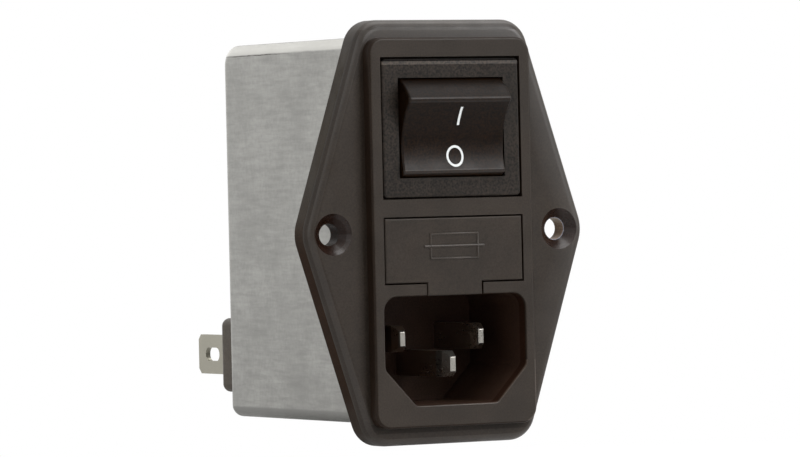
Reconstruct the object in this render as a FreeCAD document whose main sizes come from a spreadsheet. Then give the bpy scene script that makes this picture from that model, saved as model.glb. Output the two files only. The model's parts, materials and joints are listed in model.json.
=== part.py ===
"""Panel power inlet: screw flange, C14 inlet, fuse drawer, rocker switch and filter can.

Millimetres. +X is to the right seen from the front, +Z is up and the front looks along -Y.
The origin lies on the flange's back face, midway between the two screw holes.
"""
import FreeCAD, Part
import math
import os
import re

import Sketcher

doc = FreeCAD.newDocument("PowerInlet")

# ---------------------------------------------------------------- driving sizes
SIZES = [
    # screw flange and boss
    ("screw_spacing", 40.0), ("screw_hole", 3.4), ("countersink", 6.4), ("ear_margin", 4.85),
    ("flange_thick", 4.0), ("flange_shoulder", 0.06), ("flange_margin", 2.75),
    ("flange_corner_radius", 4.5), ("flange_point_radius", 6.0), ("flange_edge_radius", 1.6),
    ("boss_rise", 1.9), ("boss_border", 1.8), ("boss_corner_radius", 2.5),
    ("boss_edge_radius", 0.45),
    # borders and webs between the three windows of the boss
    ("border_low", 3.4), ("web_low", 2.03), ("web_high", 3.11), ("border_high", 3.19),
    # inlet well and its pins
    ("inlet_width", 24.9), ("inlet_height", 16.6), ("inlet_depth", 16.9),
    ("inlet_corner_radius", 2.2), ("inlet_lower_radius", 1.1), ("inlet_chamfer_wide", 5.3),
    ("inlet_chamfer_tall", 5.6),
    ("inlet_rim", 0.3), ("floor_thick", 2.5),
    ("pin_spacing", 14.0), ("pin_drop", 6.55), ("earth_drop", 4.0), ("pin_thick", 2.0),
    ("pin_height", 4.0), ("pin_recess", 4.25), ("earth_recess", 1.1),
    ("pin_taper", 1.8), ("pin_side_taper", 0.55), ("pin_end_taper", 0.9),
    ("pin_tip_radius", 0.2),
    ("tail_thick", 1.0), ("tail_height", 2.4), ("slot_gap", 0.04),
    # fuses
    ("fuse_length", 20.0), ("fuse_diameter", 5.2), ("fuse_cap_length", 5.5),
    ("fuse_cap_wall", 0.25), ("fuse_cap_edge", 0.2), ("glass_gap", 0.03), ("glass_wall", 0.6),
    ("fuse_wire", 0.3),
    # fuse drawer
    ("drawer_cheek", 1.8), ("drawer_end_gap", 0.33), ("drawer_rim", 2.335),
    ("drawer_plate", 1.6), ("drawer_gap", 0.2), ("drawer_edge_radius", 0.25),
    ("drawer_floor", 1.0), ("drawer_divider", 1.0), ("drawer_lip", 1.2), ("drawer_rear_gap", 0.5),
    ("pull_tab_width", 9.66), ("fuse_gap", 0.2),
    # fuse clips
    ("clip_sheet", 0.4), ("clip_width", 3.0), ("clip_gap", 0.08), ("clip_hold", 1.9),
    # rocker switch
    ("rocker_width", 18.0), ("rocker_radius", 8.4), ("rocker_gap", 0.25),
    ("rocker_side_gap", 0.3), ("rocker_depth", 4.1), ("rocker_ridge", 5.6),
    ("rocker_hollow", 1.6), ("rocker_tilt", 12.0), ("rocker_skirt", 1.6), ("rocker_wall", 1.2),
    ("rocker_front_wall", 2.2), ("ridge_radius", 0.5), ("rocker_edge_radius", 0.3),
    ("trunnion", 2.4), ("trunnion_length", 1.2), ("pivot_gap", 0.05),
    ("bezel_thick", 1.5), ("bezel_lip", 0.9), ("bezel_gap", 0.22), ("bezel_edge_radius", 0.35),
    ("bezel_corner_radius", 0.7),
    ("switch_wall", 1.05), ("switch_side_wall", 1.9), ("switch_rear_wall", 2.0),
    ("panel_wall", 2.0), ("body_gap", 0.15), ("snap_rise", 0.8), ("snap_length", 2.4),
    ("snap_width", 6.0),
    # switch works
    ("pole_offset", 5.0), ("hub", 4.6), ("hub_length", 5.4), ("hub_sink", 0.73), ("plunger", 2.8),
    ("plunger_length", 6.0), ("plunger_reach", 7.0), ("plunger_gap", 0.1), ("spring_wire", 0.35),
    ("spring_turns", 4.0), ("arm_thick", 0.6), ("arm_width", 3.0), ("arm_reach", 6.0),
    ("arm_end", 1.2), ("button", 1.8), ("button_rise", 0.5), ("contact_gap", 0.05),
    ("blade_thick", 0.8), ("blade_width", 4.0), ("knife_edge", 0.2),
    # circuit board and what it carries
    ("board_standoff", 6.5), ("board_thick", 1.6), ("board_gap", 0.3), ("tail_proud", 0.6),
    ("part_standoff", 0.8), ("part_spacing", 1.5), ("lead_space", 1.0), ("lead", 0.8), ("lead_gap", 0.05),
    ("choke_diameter", 18.0), ("choke_bore", 9.0), ("choke_height", 7.0), ("choke_wire", 0.8),
    ("choke_wire_gap", 0.1), ("choke_turns", 8.0), ("choke_span", 150.0),
    ("x_capacitor_width", 18.0), ("x_capacitor_thick", 8.5), ("x_capacitor_height", 14.0),
    ("x_capacitor_pitch", 15.0), ("y_capacitor_diameter", 8.0), ("y_capacitor_thick", 4.0),
    ("y_capacitor_offset", 6.0), ("y_capacitor_pitch", 5.0), ("y_capacitor_radius", 1.4),
    ("resistor_diameter", 2.5),
    ("resistor_length", 6.8), ("resistor_pitch", 10.0), ("resistor_radius", 0.5),
    # shield can
    ("can_sheet", 0.5), ("can_inset", 0.05), ("can_step", 0.5), ("can_lift", 0.5),
    ("can_clearance", 0.1), ("can_groove", 0.5), ("can_corner_radius", 1.8), ("can_back_radius", 3.2),
    ("can_low_radius", 1.9), ("can_rear_space", 5.4),
    ("catch_width", 8.0), ("catch_length", 2.5), ("catch_rise", 0.5), ("catch_depth", 5.5),
    # quick-connect blades and their bushes
    ("tab_height", 6.3), ("tab_thick", 0.8), ("tab_length", 9.4), ("tab_margin", 2.1),
    ("tab_drop", 19.3), ("tab_bevel", 0.8), ("tab_tail", 3.0), ("tab_slot", 2.15),
    ("tab_slot_length", 4.6), ("tab_slot_edge", 2.4), ("bush_side_wall", 1.2),
    ("bush_end_wall", 2.75), ("bush_rise", 4.5), ("bush_neck_wall", 0.4),
    ("bush_lip", 0.5), ("bush_lip_thick", 1.2), ("bush_lip_gap", 0.12), ("bush_radius", 1.3),
    ("earth_foot", 7.0), ("rivet", 2.4), ("rivet_head", 3.6), ("rivet_crown", 2.3),
    ("rivet_head_rise", 0.9),
    # earth strap inside the can
    ("strap_sheet", 0.5), ("strap_width", 6.0), ("strap_space", 1.0), ("strap_top", 3.4),
    ("strap_board_gap", 0.5),
]

sheet = doc.addObject("Spreadsheet::Sheet", "Sizes")
for row, (alias, number) in enumerate(SIZES, start=1):
    sheet.set(f"A{row}", alias)
    sheet.set(f"B{row}", str(number))
    sheet.setAlias(f"B{row}", alias)
doc.recompute()

# ---------------------------------------------------------------- derived places
# Each is worked out from the sizes above and the places before it.
LAYOUT = [
    ("face_y", "-(flange_thick + boss_rise)"),
    # widths and heights of the three windows
    ("drawer_width", "fuse_length + 2 * (drawer_end_gap + drawer_cheek)"),
    ("drawer_height", "fuse_diameter + 2 * drawer_rim"),
    ("body_half_width", "rocker_width / 2 + rocker_side_gap + switch_side_wall"),
    ("body_half_height", "rocker_radius + rocker_gap + switch_wall"),
    ("bezel_half_width", "body_half_width + bezel_lip"),
    ("bezel_half_height", "body_half_height + bezel_lip"),
    ("boss_half_width", "max(inlet_width / 2; drawer_width / 2 + drawer_gap;"
                        " bezel_half_width + bezel_gap) + boss_border"),
    ("boss_height", "border_low + inlet_height + web_low + drawer_height + web_high"
                    " + 2 * bezel_half_height + border_high"),
    # heights from the bottom of the boss upwards
    ("inlet_low", "-boss_height / 2 + border_low"),
    ("inlet_high", "inlet_low + inlet_height"),
    ("drawer_low", "inlet_high + web_low"),
    ("drawer_high", "drawer_low + drawer_height"),
    ("fuse_z", "(drawer_low + drawer_high) / 2"),
    ("switch_z", "drawer_high + web_high + bezel_half_height"),
    ("pin_z", "inlet_high - pin_drop"),
    ("earth_z", "pin_z - earth_drop"),
    ("flange_half_height", "boss_height / 2 + flange_margin"),
    ("flange_half_width", "screw_spacing / 2 + ear_margin"),
    ("flange_top_half_width", "boss_half_width + flange_shoulder"),
    # depths of the fuse drawer, from its face backwards
    ("plate_back", "face_y + drawer_plate"),
    ("spare_y", "plate_back + fuse_gap + fuse_diameter / 2"),
    ("divider_front", "spare_y + fuse_diameter / 2 + fuse_gap"),
    ("divider_back", "divider_front + drawer_divider"),
    ("live_y", "divider_back + fuse_gap + fuse_diameter / 2"),
    ("tray_end", "live_y + fuse_diameter / 2 + drawer_lip"),
    ("chamber_floor", "tray_end + drawer_rear_gap"),
    ("inlet_floor", "face_y + inlet_depth"),
    ("spigot_back", "max(inlet_floor; chamber_floor) + floor_thick"),
    # depths of the switch works, from the rocker's pivot backwards
    ("bezel_back", "face_y + bezel_thick"),
    ("panel_back", "bezel_back + panel_wall"),
    ("pivot_y", "face_y + rocker_depth"),
    ("arm_front", "pivot_y + plunger_reach + contact_gap"),
    ("arm_back", "arm_front + arm_thick"),
    ("foot_front", "arm_back + (arm_reach + button / 2) * sin(rocker_tilt)"
                   " + button_rise * cos(rocker_tilt) + contact_gap"),
    ("contact_floor", "foot_front + blade_thick"),
    ("switch_back", "contact_floor + switch_rear_wall"),
    ("load_drop", "arm_reach + button / 2 + blade_thick"),
    # board, can and terminals
    ("board_front", "max(spigot_back; switch_back) + board_standoff"),
    ("board_back", "board_front + board_thick"),
    ("tail_end", "board_back + tail_proud"),
    ("seat_y", "board_back + part_standoff"),
    ("can_depth", "seat_y + x_capacitor_height + can_rear_space"),
    ("can_half_width", "boss_half_width - can_inset"),
    ("can_start", "can_clearance - can_groove"),
    ("can_low", "can_lift - (boss_height - can_step) / 2"),
    ("can_high", "can_lift + (boss_height - can_step) / 2"),
    ("room_half_width", "can_half_width - can_sheet"),
    ("room_low", "can_low + can_sheet"),
    ("room_high", "can_high - can_sheet"),
    ("tab_x", "room_half_width - tab_margin"),
    ("bush_end", "can_depth + bush_rise"),
    ("bush_front", "can_depth - can_sheet - bush_lip_gap - bush_lip_thick"),
    ("tab_end", "bush_end + tab_length"),
    # parts on the board, from the top downwards
    ("choke_half", "choke_diameter / 2 + choke_wire_gap + choke_wire"),
    ("x_capacitor_z", "fuse_z + clip_sheet / 2 + lead / 2 + lead_space"),
    ("choke_z", "x_capacitor_z + x_capacitor_thick / 2 + part_spacing + choke_half"),
    ("resistor_z", "x_capacitor_z - x_capacitor_thick / 2 - part_spacing - resistor_diameter / 2"),
    ("y_capacitor_z", "resistor_z - resistor_diameter / 2 - part_spacing - y_capacitor_thick / 2"),
    ("strap_front", "spigot_back + strap_space"),
    ("strap_back", "board_front - strap_board_gap"),
    ("strap_rivet_y", "(strap_front + strap_sheet + strap_back) / 2"),
    ("winding_radius", "choke_diameter / 2 + choke_wire_gap + choke_wire / 2"),
]

layout = doc.addObject("App::FeaturePython", "Layout")
SIZE_NAMES = {alias for alias, number in SIZES}
LAYOUT_NAMES = {name for name, formula in LAYOUT}


def qualify(text):
    """Write plain size names as full references into the sheet or the layout."""
    def full(match):
        word = match.group(0)
        if word in SIZE_NAMES:
            return "Sizes." + word
        if word in LAYOUT_NAMES:
            return "Layout." + word
        return word
    return re.sub(r"[a-z][a-z_0-9]*", full, str(text))


for name, formula in LAYOUT:
    layout.addProperty("App::PropertyFloat", name, "Places")
    layout.setExpression(name, qualify(formula))
doc.recompute()


def bind(item, prop, text):
    """Tie a property to a formula of named sizes."""
    item.setExpression(prop, qualify(text))


def value(text):
    """The number that a formula of named sizes has now."""
    return float(sheet.evalExpression(qualify(text)))


# ---------------------------------------------------------------- modelling helpers
pieces = []


def new_body(name):
    """A body of its own for one physical piece."""
    body = doc.addObject("PartDesign::Body", name)
    body.Label = name
    pieces.append(body)
    return body


def put(item, x="0", y="0", z="0", axis=None, angle="0"):
    """Place a piece, turned about one axis, at named coordinates."""
    if axis is not None:
        turn = FreeCAD.Rotation(FreeCAD.Vector(*axis), value(angle))
        item.Placement = FreeCAD.Placement(FreeCAD.Vector(), turn)
        bind(item, "Placement.Rotation.Angle", angle)
    for letter, text in zip("xyz", (x, y, z)):
        bind(item, "Placement.Base." + letter, text)


def new_sketch(body, name, plane, offset="0"):
    """A sketch on one of the body's own origin planes, moved along the plane's normal.

    XZ looks along -Y with X to the right and Z up, YZ looks along +X with Y to the right,
    and XY looks along +Z.
    """
    sketch = body.newObject("Sketcher::SketchObject", name)
    role = plane + "_Plane"
    support = next(item for item in body.Origin.OriginFeatures if item.Role == role)
    sketch.AttachmentSupport = [(support, "")]
    sketch.MapMode = "FlatFace"
    bind(sketch, "AttachmentOffset.Base.z", offset)
    return sketch


def front_sketch(body, name, y="0"):
    """A sketch facing forwards (-Y) at the given depth."""
    return new_sketch(body, name, "XZ", f"-({y})")


def pin_down(sketch, index, end, kind, text):
    """Hold one coordinate of a sketch point at a named place."""
    number = sketch.addConstraint(Sketcher.Constraint(kind, index, end, value(text)))
    bind(sketch, f"Constraints[{number}]", text)


def arc_through(start, end, radius, side):
    """The short arc from start to end with its centre to the left (side 1) or right (-1)."""
    chord = end - start
    half = chord.Length / 2
    rise = math.sqrt(max(radius * radius - half * half, 0.0))
    left = FreeCAD.Vector(-chord.y, chord.x, 0).normalize()
    centre = (start + end) / 2 + left * rise * side
    circle = Part.Circle(centre, FreeCAD.Vector(0, 0, 1), radius)
    first, last = (start, end) if side > 0 else (end, start)
    return Part.ArcOfCircle(circle, circle.parameter(first), circle.parameter(last))


def outline(sketch, corners):
    """A closed outline through named corners.

    A corner is (x, y) and is followed by a straight side, or (x, y, radius, side) and is
    followed by an arc whose centre lies to the left (side 1) or right (-1) of its chord.
    """
    points = [FreeCAD.Vector(value(c[0]), value(c[1]), 0) for c in corners]
    starts = []
    ends = []
    for i, corner in enumerate(corners):
        here, there = points[i], points[(i + 1) % len(points)]
        if len(corner) == 2:
            index = sketch.addGeometry(Part.LineSegment(here, there))
            starts.append((index, 1))
            ends.append((index, 2))
            continue
        radius, side = corner[2], corner[3]
        index = sketch.addGeometry(arc_through(here, there, value(radius), side))
        starts.append((index, 1 if side > 0 else 2))
        ends.append((index, 2 if side > 0 else 1))
    for i, corner in enumerate(corners):
        before = ends[i - 1]
        sketch.addConstraint(Sketcher.Constraint("Coincident", *before, *starts[i]))
        pin_down(sketch, *starts[i], "DistanceX", corner[0])
        pin_down(sketch, *starts[i], "DistanceY", corner[1])
    for i, corner in enumerate(corners):
        if len(corner) > 2:
            index = starts[i][0]
            number = sketch.addConstraint(Sketcher.Constraint("Radius", index, value(corner[2])))
            bind(sketch, f"Constraints[{number}]", corner[2])
    return sketch


def rectangle(sketch, left, right, low, high):
    return outline(sketch, [(left, low), (right, low), (right, high), (left, high)])


def rounded_rectangle(sketch, left, right, low, high, radius):
    return outline(sketch, [
        (left, f"{low} + {radius}", radius, 1), (f"{left} + {radius}", low),
        (f"{right} - {radius}", low, radius, 1), (right, f"{low} + {radius}"),
        (right, f"{high} - {radius}", radius, 1), (f"{right} - {radius}", high),
        (f"{left} + {radius}", high, radius, 1), (left, f"{high} - {radius}")])


def disc(sketch, x, y, diameter):
    centre = FreeCAD.Vector(value(x), value(y), 0)
    circle = Part.Circle(centre, FreeCAD.Vector(0, 0, 1), value(diameter) / 2)
    index = sketch.addGeometry(circle)
    pin_down(sketch, index, 3, "DistanceX", x)
    pin_down(sketch, index, 3, "DistanceY", y)
    number = sketch.addConstraint(Sketcher.Constraint("Diameter", index, value(diameter)))
    bind(sketch, f"Constraints[{number}]", diameter)
    return sketch


def grow(body, kind, sketch, length, reverse=False, both=False):
    """Pad or pocket a sketch by a named length; both spreads it evenly to either side."""
    before = 0.0 if body.Shape.isNull() else body.Shape.Volume
    feature = body.newObject("PartDesign::" + kind, sketch.Name + kind)
    feature.Profile = sketch
    sketch.Visibility = False
    if both:
        feature.Midplane = True
    feature.Reversed = reverse
    bind(feature, "Length", length)
    doc.recompute()
    change = body.Shape.Volume - before
    if (change > 0) != (kind == "Pad"):
        raise RuntimeError(f"{body.Label}: {feature.Name} changes nothing")
    return feature


def pad(body, sketch, length, **options):
    return grow(body, "Pad", sketch, length, **options)


def pocket(body, sketch, length, **options):
    return grow(body, "Pocket", sketch, length, **options)


def loft(body, first, second):
    """Add the straight-sided solid that joins two sketches."""
    feature = body.newObject("PartDesign::AdditiveLoft", first.Name + "Loft")
    feature.Profile = first
    feature.Sections = [second]
    feature.Ruled = True
    first.Visibility = False
    doc.recompute()
    if feature.Shape.isNull() or not feature.Shape.isValid():
        raise RuntimeError(f"{body.Label}: {feature.Name} failed")
    return feature


def dress(body, kind, prop, size, choose):
    """Fillet or chamfer the edges of the body that choose(edge) picks."""
    tip = body.Tip
    names = [f"Edge{i}" for i, edge in enumerate(tip.Shape.Edges, start=1) if choose(edge)]
    if not names:
        raise RuntimeError(f"{body.Label}: no edge to dress")
    feature = body.newObject("PartDesign::" + kind, body.Name + kind)
    feature.Base = (tip, names)
    bind(feature, prop, size)
    doc.recompute()
    if feature.Shape.isNull() or not feature.Shape.isValid():
        raise RuntimeError(f"{body.Label}: {feature.Name} failed")
    return feature


def fillet(body, radius, choose):
    return dress(body, "Fillet", "Radius", radius, choose)


def chamfer(body, size, choose):
    return dress(body, "Chamfer", "Size", size, choose)


NEAR = 1e-4


def runs_along(edge, axis):
    """A straight edge parallel to the axis (0, 1 or 2)."""
    if not isinstance(edge.Curve, Part.Line):
        return False
    return abs(abs(edge.Curve.Direction[axis]) - 1) < NEAR


def lies_at(edge, axis, place):
    """An edge that lies wholly in the plane across the axis at the named place."""
    box = edge.BoundBox
    low = (box.XMin, box.YMin, box.ZMin)[axis]
    high = (box.XMax, box.YMax, box.ZMax)[axis]
    where = value(place)
    return abs(low - where) < NEAR and abs(high - where) < NEAR


def middle(edge):
    return edge.BoundBox.Center


SPRING_STEPS = 12


def add_wire(name, path, diameter):
    """A bent wire of six-sided section along straight runs, mitred at each corner."""
    start = (path[1] - path[0]).normalize()
    turn = FreeCAD.Rotation(FreeCAD.Vector(0, 0, 1), start)
    ring = []
    for k in range(6):
        angle = math.pi * k / 3
        spoke = FreeCAD.Vector(math.cos(angle), math.sin(angle), 0) * (diameter / 2)
        ring.append(path[0] + turn.multVec(spoke))
    section = Part.makePolygon(ring + ring[:1])
    wire = doc.addObject("Part::Feature", name)
    wire.Label = name
    wire.Shape = Part.makePolygon(path).makePipeShell([section], True, False, 1)
    pieces.append(wire)


# ---------------------------------------------------------------- front moulding
def front_housing():
    body = new_body("front_housing")
    # six-sided flange with rounded points and a rounded front edge
    plan = front_sketch(body, "FlangePlan")
    outline(plan, [("-flange_top_half_width", "-flange_half_height"),
                   ("flange_top_half_width", "-flange_half_height"),
                   ("flange_half_width", "0"),
                   ("flange_top_half_width", "flange_half_height"),
                   ("-flange_top_half_width", "flange_half_height"),
                   ("-flange_half_width", "0")])
    pad(body, plan, "flange_thick")
    fillet(body, "flange_point_radius",
           lambda e: runs_along(e, 1) and abs(middle(e).z) < NEAR)
    fillet(body, "flange_corner_radius",
           lambda e: runs_along(e, 1) and abs(abs(middle(e).z) - value("flange_half_height")) < NEAR)
    fillet(body, "flange_edge_radius", lambda e: lies_at(e, 1, "-flange_thick"))
    # raised boss that frames the three windows
    plan = front_sketch(body, "BossPlan")
    rounded_rectangle(plan, "-boss_half_width", "boss_half_width",
                      "-boss_height / 2", "boss_height / 2", "boss_corner_radius")
    pad(body, plan, "flange_thick + boss_rise")
    fillet(body, "boss_edge_radius", lambda e: lies_at(e, 1, "face_y"))
    # groove that the can's front edge enters, and the spigot that the can slides over
    groove = front_sketch(body, "CanGroove")
    rounded_rectangle(groove, "-(can_half_width + can_clearance)", "can_half_width + can_clearance",
                      "can_low - can_clearance", "can_high + can_clearance",
                      "(can_corner_radius + can_clearance)")
    pocket(body, groove, "can_groove", reverse=True)
    plan = front_sketch(body, "SpigotPlan", "-can_groove")
    rounded_rectangle(plan, "-(room_half_width - can_clearance)", "room_half_width - can_clearance",
                      "room_low + can_clearance", "room_high - can_clearance",
                      "(can_corner_radius - can_sheet)")
    pad(body, plan, "spigot_back + can_groove", reverse=True)
    inlet_well(body)
    drawer_chamber(body)
    switch_window(body)
    screw_holes(body)
    can_catches(body)
    put(body)
    return body


def inlet_well(body):
    """The C14 socket: a well with two bevelled lower corners and slots for its pins."""
    plan = front_sketch(body, "InletPlan", "face_y")
    outline(plan, [("-inlet_width / 2 + inlet_chamfer_wide", "inlet_low"),
                   ("inlet_width / 2 - inlet_chamfer_wide", "inlet_low"),
                   ("inlet_width / 2", "inlet_low + inlet_chamfer_tall"),
                   ("inlet_width / 2", "inlet_high"),
                   ("-inlet_width / 2", "inlet_high"),
                   ("-inlet_width / 2", "inlet_low + inlet_chamfer_tall")])
    pocket(body, plan, "inlet_depth")

    def in_well(edge):
        centre = middle(edge)
        return (centre.z < value("inlet_high") + NEAR and centre.z > value("inlet_low") - NEAR
                and abs(centre.x) < value("inlet_width / 2") + NEAR)

    fillet(body, "inlet_corner_radius",
           lambda e: runs_along(e, 1) and in_well(e) and middle(e).z > value("inlet_high") - NEAR)
    fillet(body, "inlet_lower_radius",
           lambda e: runs_along(e, 1) and in_well(e)
           and middle(e).z < value("inlet_low + inlet_chamfer_tall") + NEAR)
    fillet(body, "inlet_rim", lambda e: lies_at(e, 1, "face_y") and in_well(e))
    slots = front_sketch(body, "PinSlots", "inlet_floor")
    for x, z in (("-pin_spacing / 2", "pin_z"), ("pin_spacing / 2", "pin_z"), ("0", "earth_z")):
        rectangle(slots, f"{x} - pin_thick / 2 - slot_gap", f"{x} + pin_thick / 2 + slot_gap",
                  f"{z} - pin_height / 2 - slot_gap", f"{z} + pin_height / 2 + slot_gap")
    pocket(body, slots, "spigot_back - inlet_floor")


def drawer_chamber(body):
    """The chamber that the fuse drawer slides into, with a notch for its pull tab."""
    plan = front_sketch(body, "ChamberPlan", "face_y")
    rectangle(plan, "-drawer_width / 2 - drawer_gap", "drawer_width / 2 + drawer_gap",
              "drawer_low - drawer_gap", "drawer_high + drawer_gap")
    pocket(body, plan, "chamber_floor - face_y")
    notch = front_sketch(body, "TabNotch", "face_y")
    rectangle(notch, "-pull_tab_width / 2 - drawer_gap", "pull_tab_width / 2 + drawer_gap",
              "inlet_high - inlet_rim", "drawer_low")
    pocket(body, notch, "drawer_plate + drawer_gap")
    slots = front_sketch(body, "ClipSlots", "chamber_floor")
    for side in (-1, 1):
        x = f"{side} * (fuse_length - fuse_cap_length) / 2"
        rectangle(slots, f"{x} - clip_width / 2 - slot_gap", f"{x} + clip_width / 2 + slot_gap",
                  "fuse_z - clip_sheet / 2 - slot_gap", "fuse_z + clip_sheet / 2 + slot_gap")
    pocket(body, slots, "spigot_back - chamber_floor")


def switch_window(body):
    """Recess for the bezel, the window its latches grip and the open box behind them."""
    plan = front_sketch(body, "BezelRecess", "face_y")
    rectangle(plan, "-bezel_half_width - bezel_gap", "bezel_half_width + bezel_gap",
              "switch_z - bezel_half_height - bezel_gap", "switch_z + bezel_half_height + bezel_gap")
    pocket(body, plan, "bezel_thick")
    window = front_sketch(body, "SwitchWindow", "bezel_back")
    rectangle(window, "-body_half_width - body_gap", "body_half_width + body_gap",
              "switch_z - body_half_height - body_gap", "switch_z + body_half_height + body_gap")
    pocket(body, window, "spigot_back - bezel_back")
    box = front_sketch(body, "SwitchBox", "panel_back")
    rectangle(box, "-(body_half_width + snap_rise + body_gap)",
              "body_half_width + snap_rise + body_gap",
              "switch_z - body_half_height - body_gap", "switch_z + body_half_height + body_gap")
    pocket(body, box, "spigot_back - panel_back")


def screw_holes(body):
    """Two countersunk holes in the ears of the flange."""
    plan = front_sketch(body, "ScrewHoles", "-flange_thick")
    for side in (-1, 1):
        disc(plan, f"{side} * screw_spacing / 2", "0", "screw_hole")
    pocket(body, plan, "flange_thick")
    chamfer(body, "(countersink - screw_hole) / 2",
            lambda e: lies_at(e, 1, "-flange_thick") and abs(middle(e).z) < NEAR
            and abs(abs(middle(e).x) - value("screw_spacing / 2")) < NEAR)


def can_catches(body):
    """Ramps above and below the spigot that snap into the can's windows."""
    profile = new_sketch(body, "Catches", "YZ")
    start, end = "catch_depth", "catch_depth + catch_length"
    low, high = "room_low + can_clearance", "room_high - can_clearance"
    outline(profile, [(start, low), (start, f"{low} - catch_rise"), (end, low)])
    outline(profile, [(start, high), (end, high), (start, f"{high} + catch_rise")])
    pad(body, profile, "catch_width", both=True)


# ---------------------------------------------------------------- contact pins of the inlet
def contact_pin(name, x, z, recess, end):
    """A flat pin with a tapered tip and a narrower tail behind the well's floor."""
    body = new_body(name)
    plan = front_sketch(body, name + "Blade", "pin_taper")
    rectangle(plan, "-pin_thick / 2", "pin_thick / 2", "-pin_height / 2", "pin_height / 2")
    pad(body, plan, f"spigot_back - face_y - {recess} - pin_taper", reverse=True)
    tip = front_sketch(body, name + "Tip")
    half_thick, half_tall = "pin_thick / 2 - pin_side_taper", "pin_height / 2 - pin_end_taper"
    rectangle(tip, f"-({half_thick})", half_thick, f"-({half_tall})", half_tall)
    loft(body, tip, plan)
    fillet(body, "pin_tip_radius", lambda e: lies_at(e, 1, "0"))
    plan = front_sketch(body, name + "Tail", f"spigot_back - face_y - {recess}")
    rectangle(plan, "-tail_thick / 2", "tail_thick / 2", "-tail_height / 2", "tail_height / 2")
    pad(body, plan, f"{end} - spigot_back", reverse=True)
    put(body, x, f"face_y + {recess}", z)
    return body


# ---------------------------------------------------------------- fuse drawer
def fuse_drawer():
    """Face plate, pull tab and tray in one moulding, at its place in the chamber."""
    body = new_body("fuse_drawer")
    plan = front_sketch(body, "DrawerPlate", "plate_back")
    outline(plan, [("-drawer_width / 2", "drawer_low"), ("-pull_tab_width / 2", "drawer_low"),
                   ("-pull_tab_width / 2", "inlet_high"), ("pull_tab_width / 2", "inlet_high"),
                   ("pull_tab_width / 2", "drawer_low"), ("drawer_width / 2", "drawer_low"),
                   ("drawer_width / 2", "drawer_high"), ("-drawer_width / 2", "drawer_high")])
    pad(body, plan, "drawer_plate")
    fillet(body, "drawer_edge_radius", lambda e: lies_at(e, 1, "face_y"))
    # tray block, then the places cut out of it
    half = "fuse_diameter / 2 + fuse_gap + drawer_floor"
    plan = front_sketch(body, "Tray", "plate_back")
    rectangle(plan, "-drawer_width / 2", "drawer_width / 2",
              f"fuse_z - ({half})", f"fuse_z + ({half})")
    pad(body, plan, "tray_end - plate_back", reverse=True)
    inner = "fuse_length / 2 + drawer_end_gap"
    spare = new_sketch(body, "SparePlace", "XY", f"fuse_z + {half}")
    rectangle(spare, f"-({inner})", inner, "plate_back", "divider_front")
    pocket(body, spare, f"2 * ({half}) - drawer_floor")
    clear = new_sketch(body, "ClipPlaces", "XY", f"fuse_z + {half}")
    cradle = "fuse_length / 2 - fuse_cap_length - fuse_gap"
    rectangle(clear, f"-({inner})", f"-({cradle})", "divider_back", "tray_end")
    rectangle(clear, cradle, inner, "divider_back", "tray_end")
    pocket(body, clear, f"2 * ({half})")
    saddle = new_sketch(body, "Saddle", "YZ")
    radius = "fuse_diameter / 2 - fuse_cap_wall + fuse_gap"
    outline(saddle, [(f"live_y + {radius}", "fuse_z"),
                     (f"live_y + {radius}", f"fuse_z + {half}"),
                     (f"live_y - ({radius})", f"fuse_z + {half}"),
                     (f"live_y - ({radius})", "fuse_z", radius, 1),
                     ("live_y", f"fuse_z - ({radius})", radius, 1)])
    pocket(body, saddle, f"2 * ({cradle})", both=True)
    put(body)
    return body


def fuse(prefix, y):
    """A 5 x 20 mm glass fuse across the drawer: tube, two end caps and the fuse wire."""
    bore = "fuse_diameter / 2 - fuse_cap_wall"
    glass = new_body(prefix + "fuse_glass")
    ring = new_sketch(glass, prefix + "GlassRing", "YZ")
    disc(ring, "0", "0", f"2 * ({bore} - glass_gap)")
    disc(ring, "0", "0", f"2 * ({bore} - glass_gap - glass_wall)")
    pad(glass, ring, "fuse_length - 2 * (fuse_cap_wall + glass_gap)", both=True)
    put(glass, "0", y, "fuse_z")
    for word, side in (("left", -1), ("right", 1)):
        cap = new_body(f"{prefix}fuse_cap_{word}")
        half = new_sketch(cap, f"{prefix}Cap{word}", "XY")
        tip, mouth = f"{side} * fuse_length / 2", f"{side} * (fuse_length / 2 - fuse_cap_length)"
        inside = f"{side} * (fuse_length / 2 - fuse_cap_wall)"
        outline(half, [(tip, "0"), (tip, "fuse_diameter / 2"), (mouth, "fuse_diameter / 2"),
                       (mouth, bore), (inside, bore), (inside, "0")])
        turn = cap.newObject("PartDesign::Revolution", f"{prefix}CapTurn{word}")
        turn.Profile = half
        turn.ReferenceAxis = (half, ["H_Axis"])
        turn.Angle = 360
        doc.recompute()
        chamfer(cap, "fuse_cap_edge",
               lambda e: lies_at(e, 0, tip) and isinstance(e.Curve, Part.Circle))
        put(cap, "0", y, "fuse_z")
    wire = new_body(prefix + "fuse_wire")
    spot = new_sketch(wire, prefix + "WireSpot", "YZ")
    disc(spot, "0", "0", "fuse_wire")
    pad(wire, spot, "fuse_length - 2 * (fuse_cap_wall + glass_gap)", both=True)
    put(wire, "0", y, "fuse_z")


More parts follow.
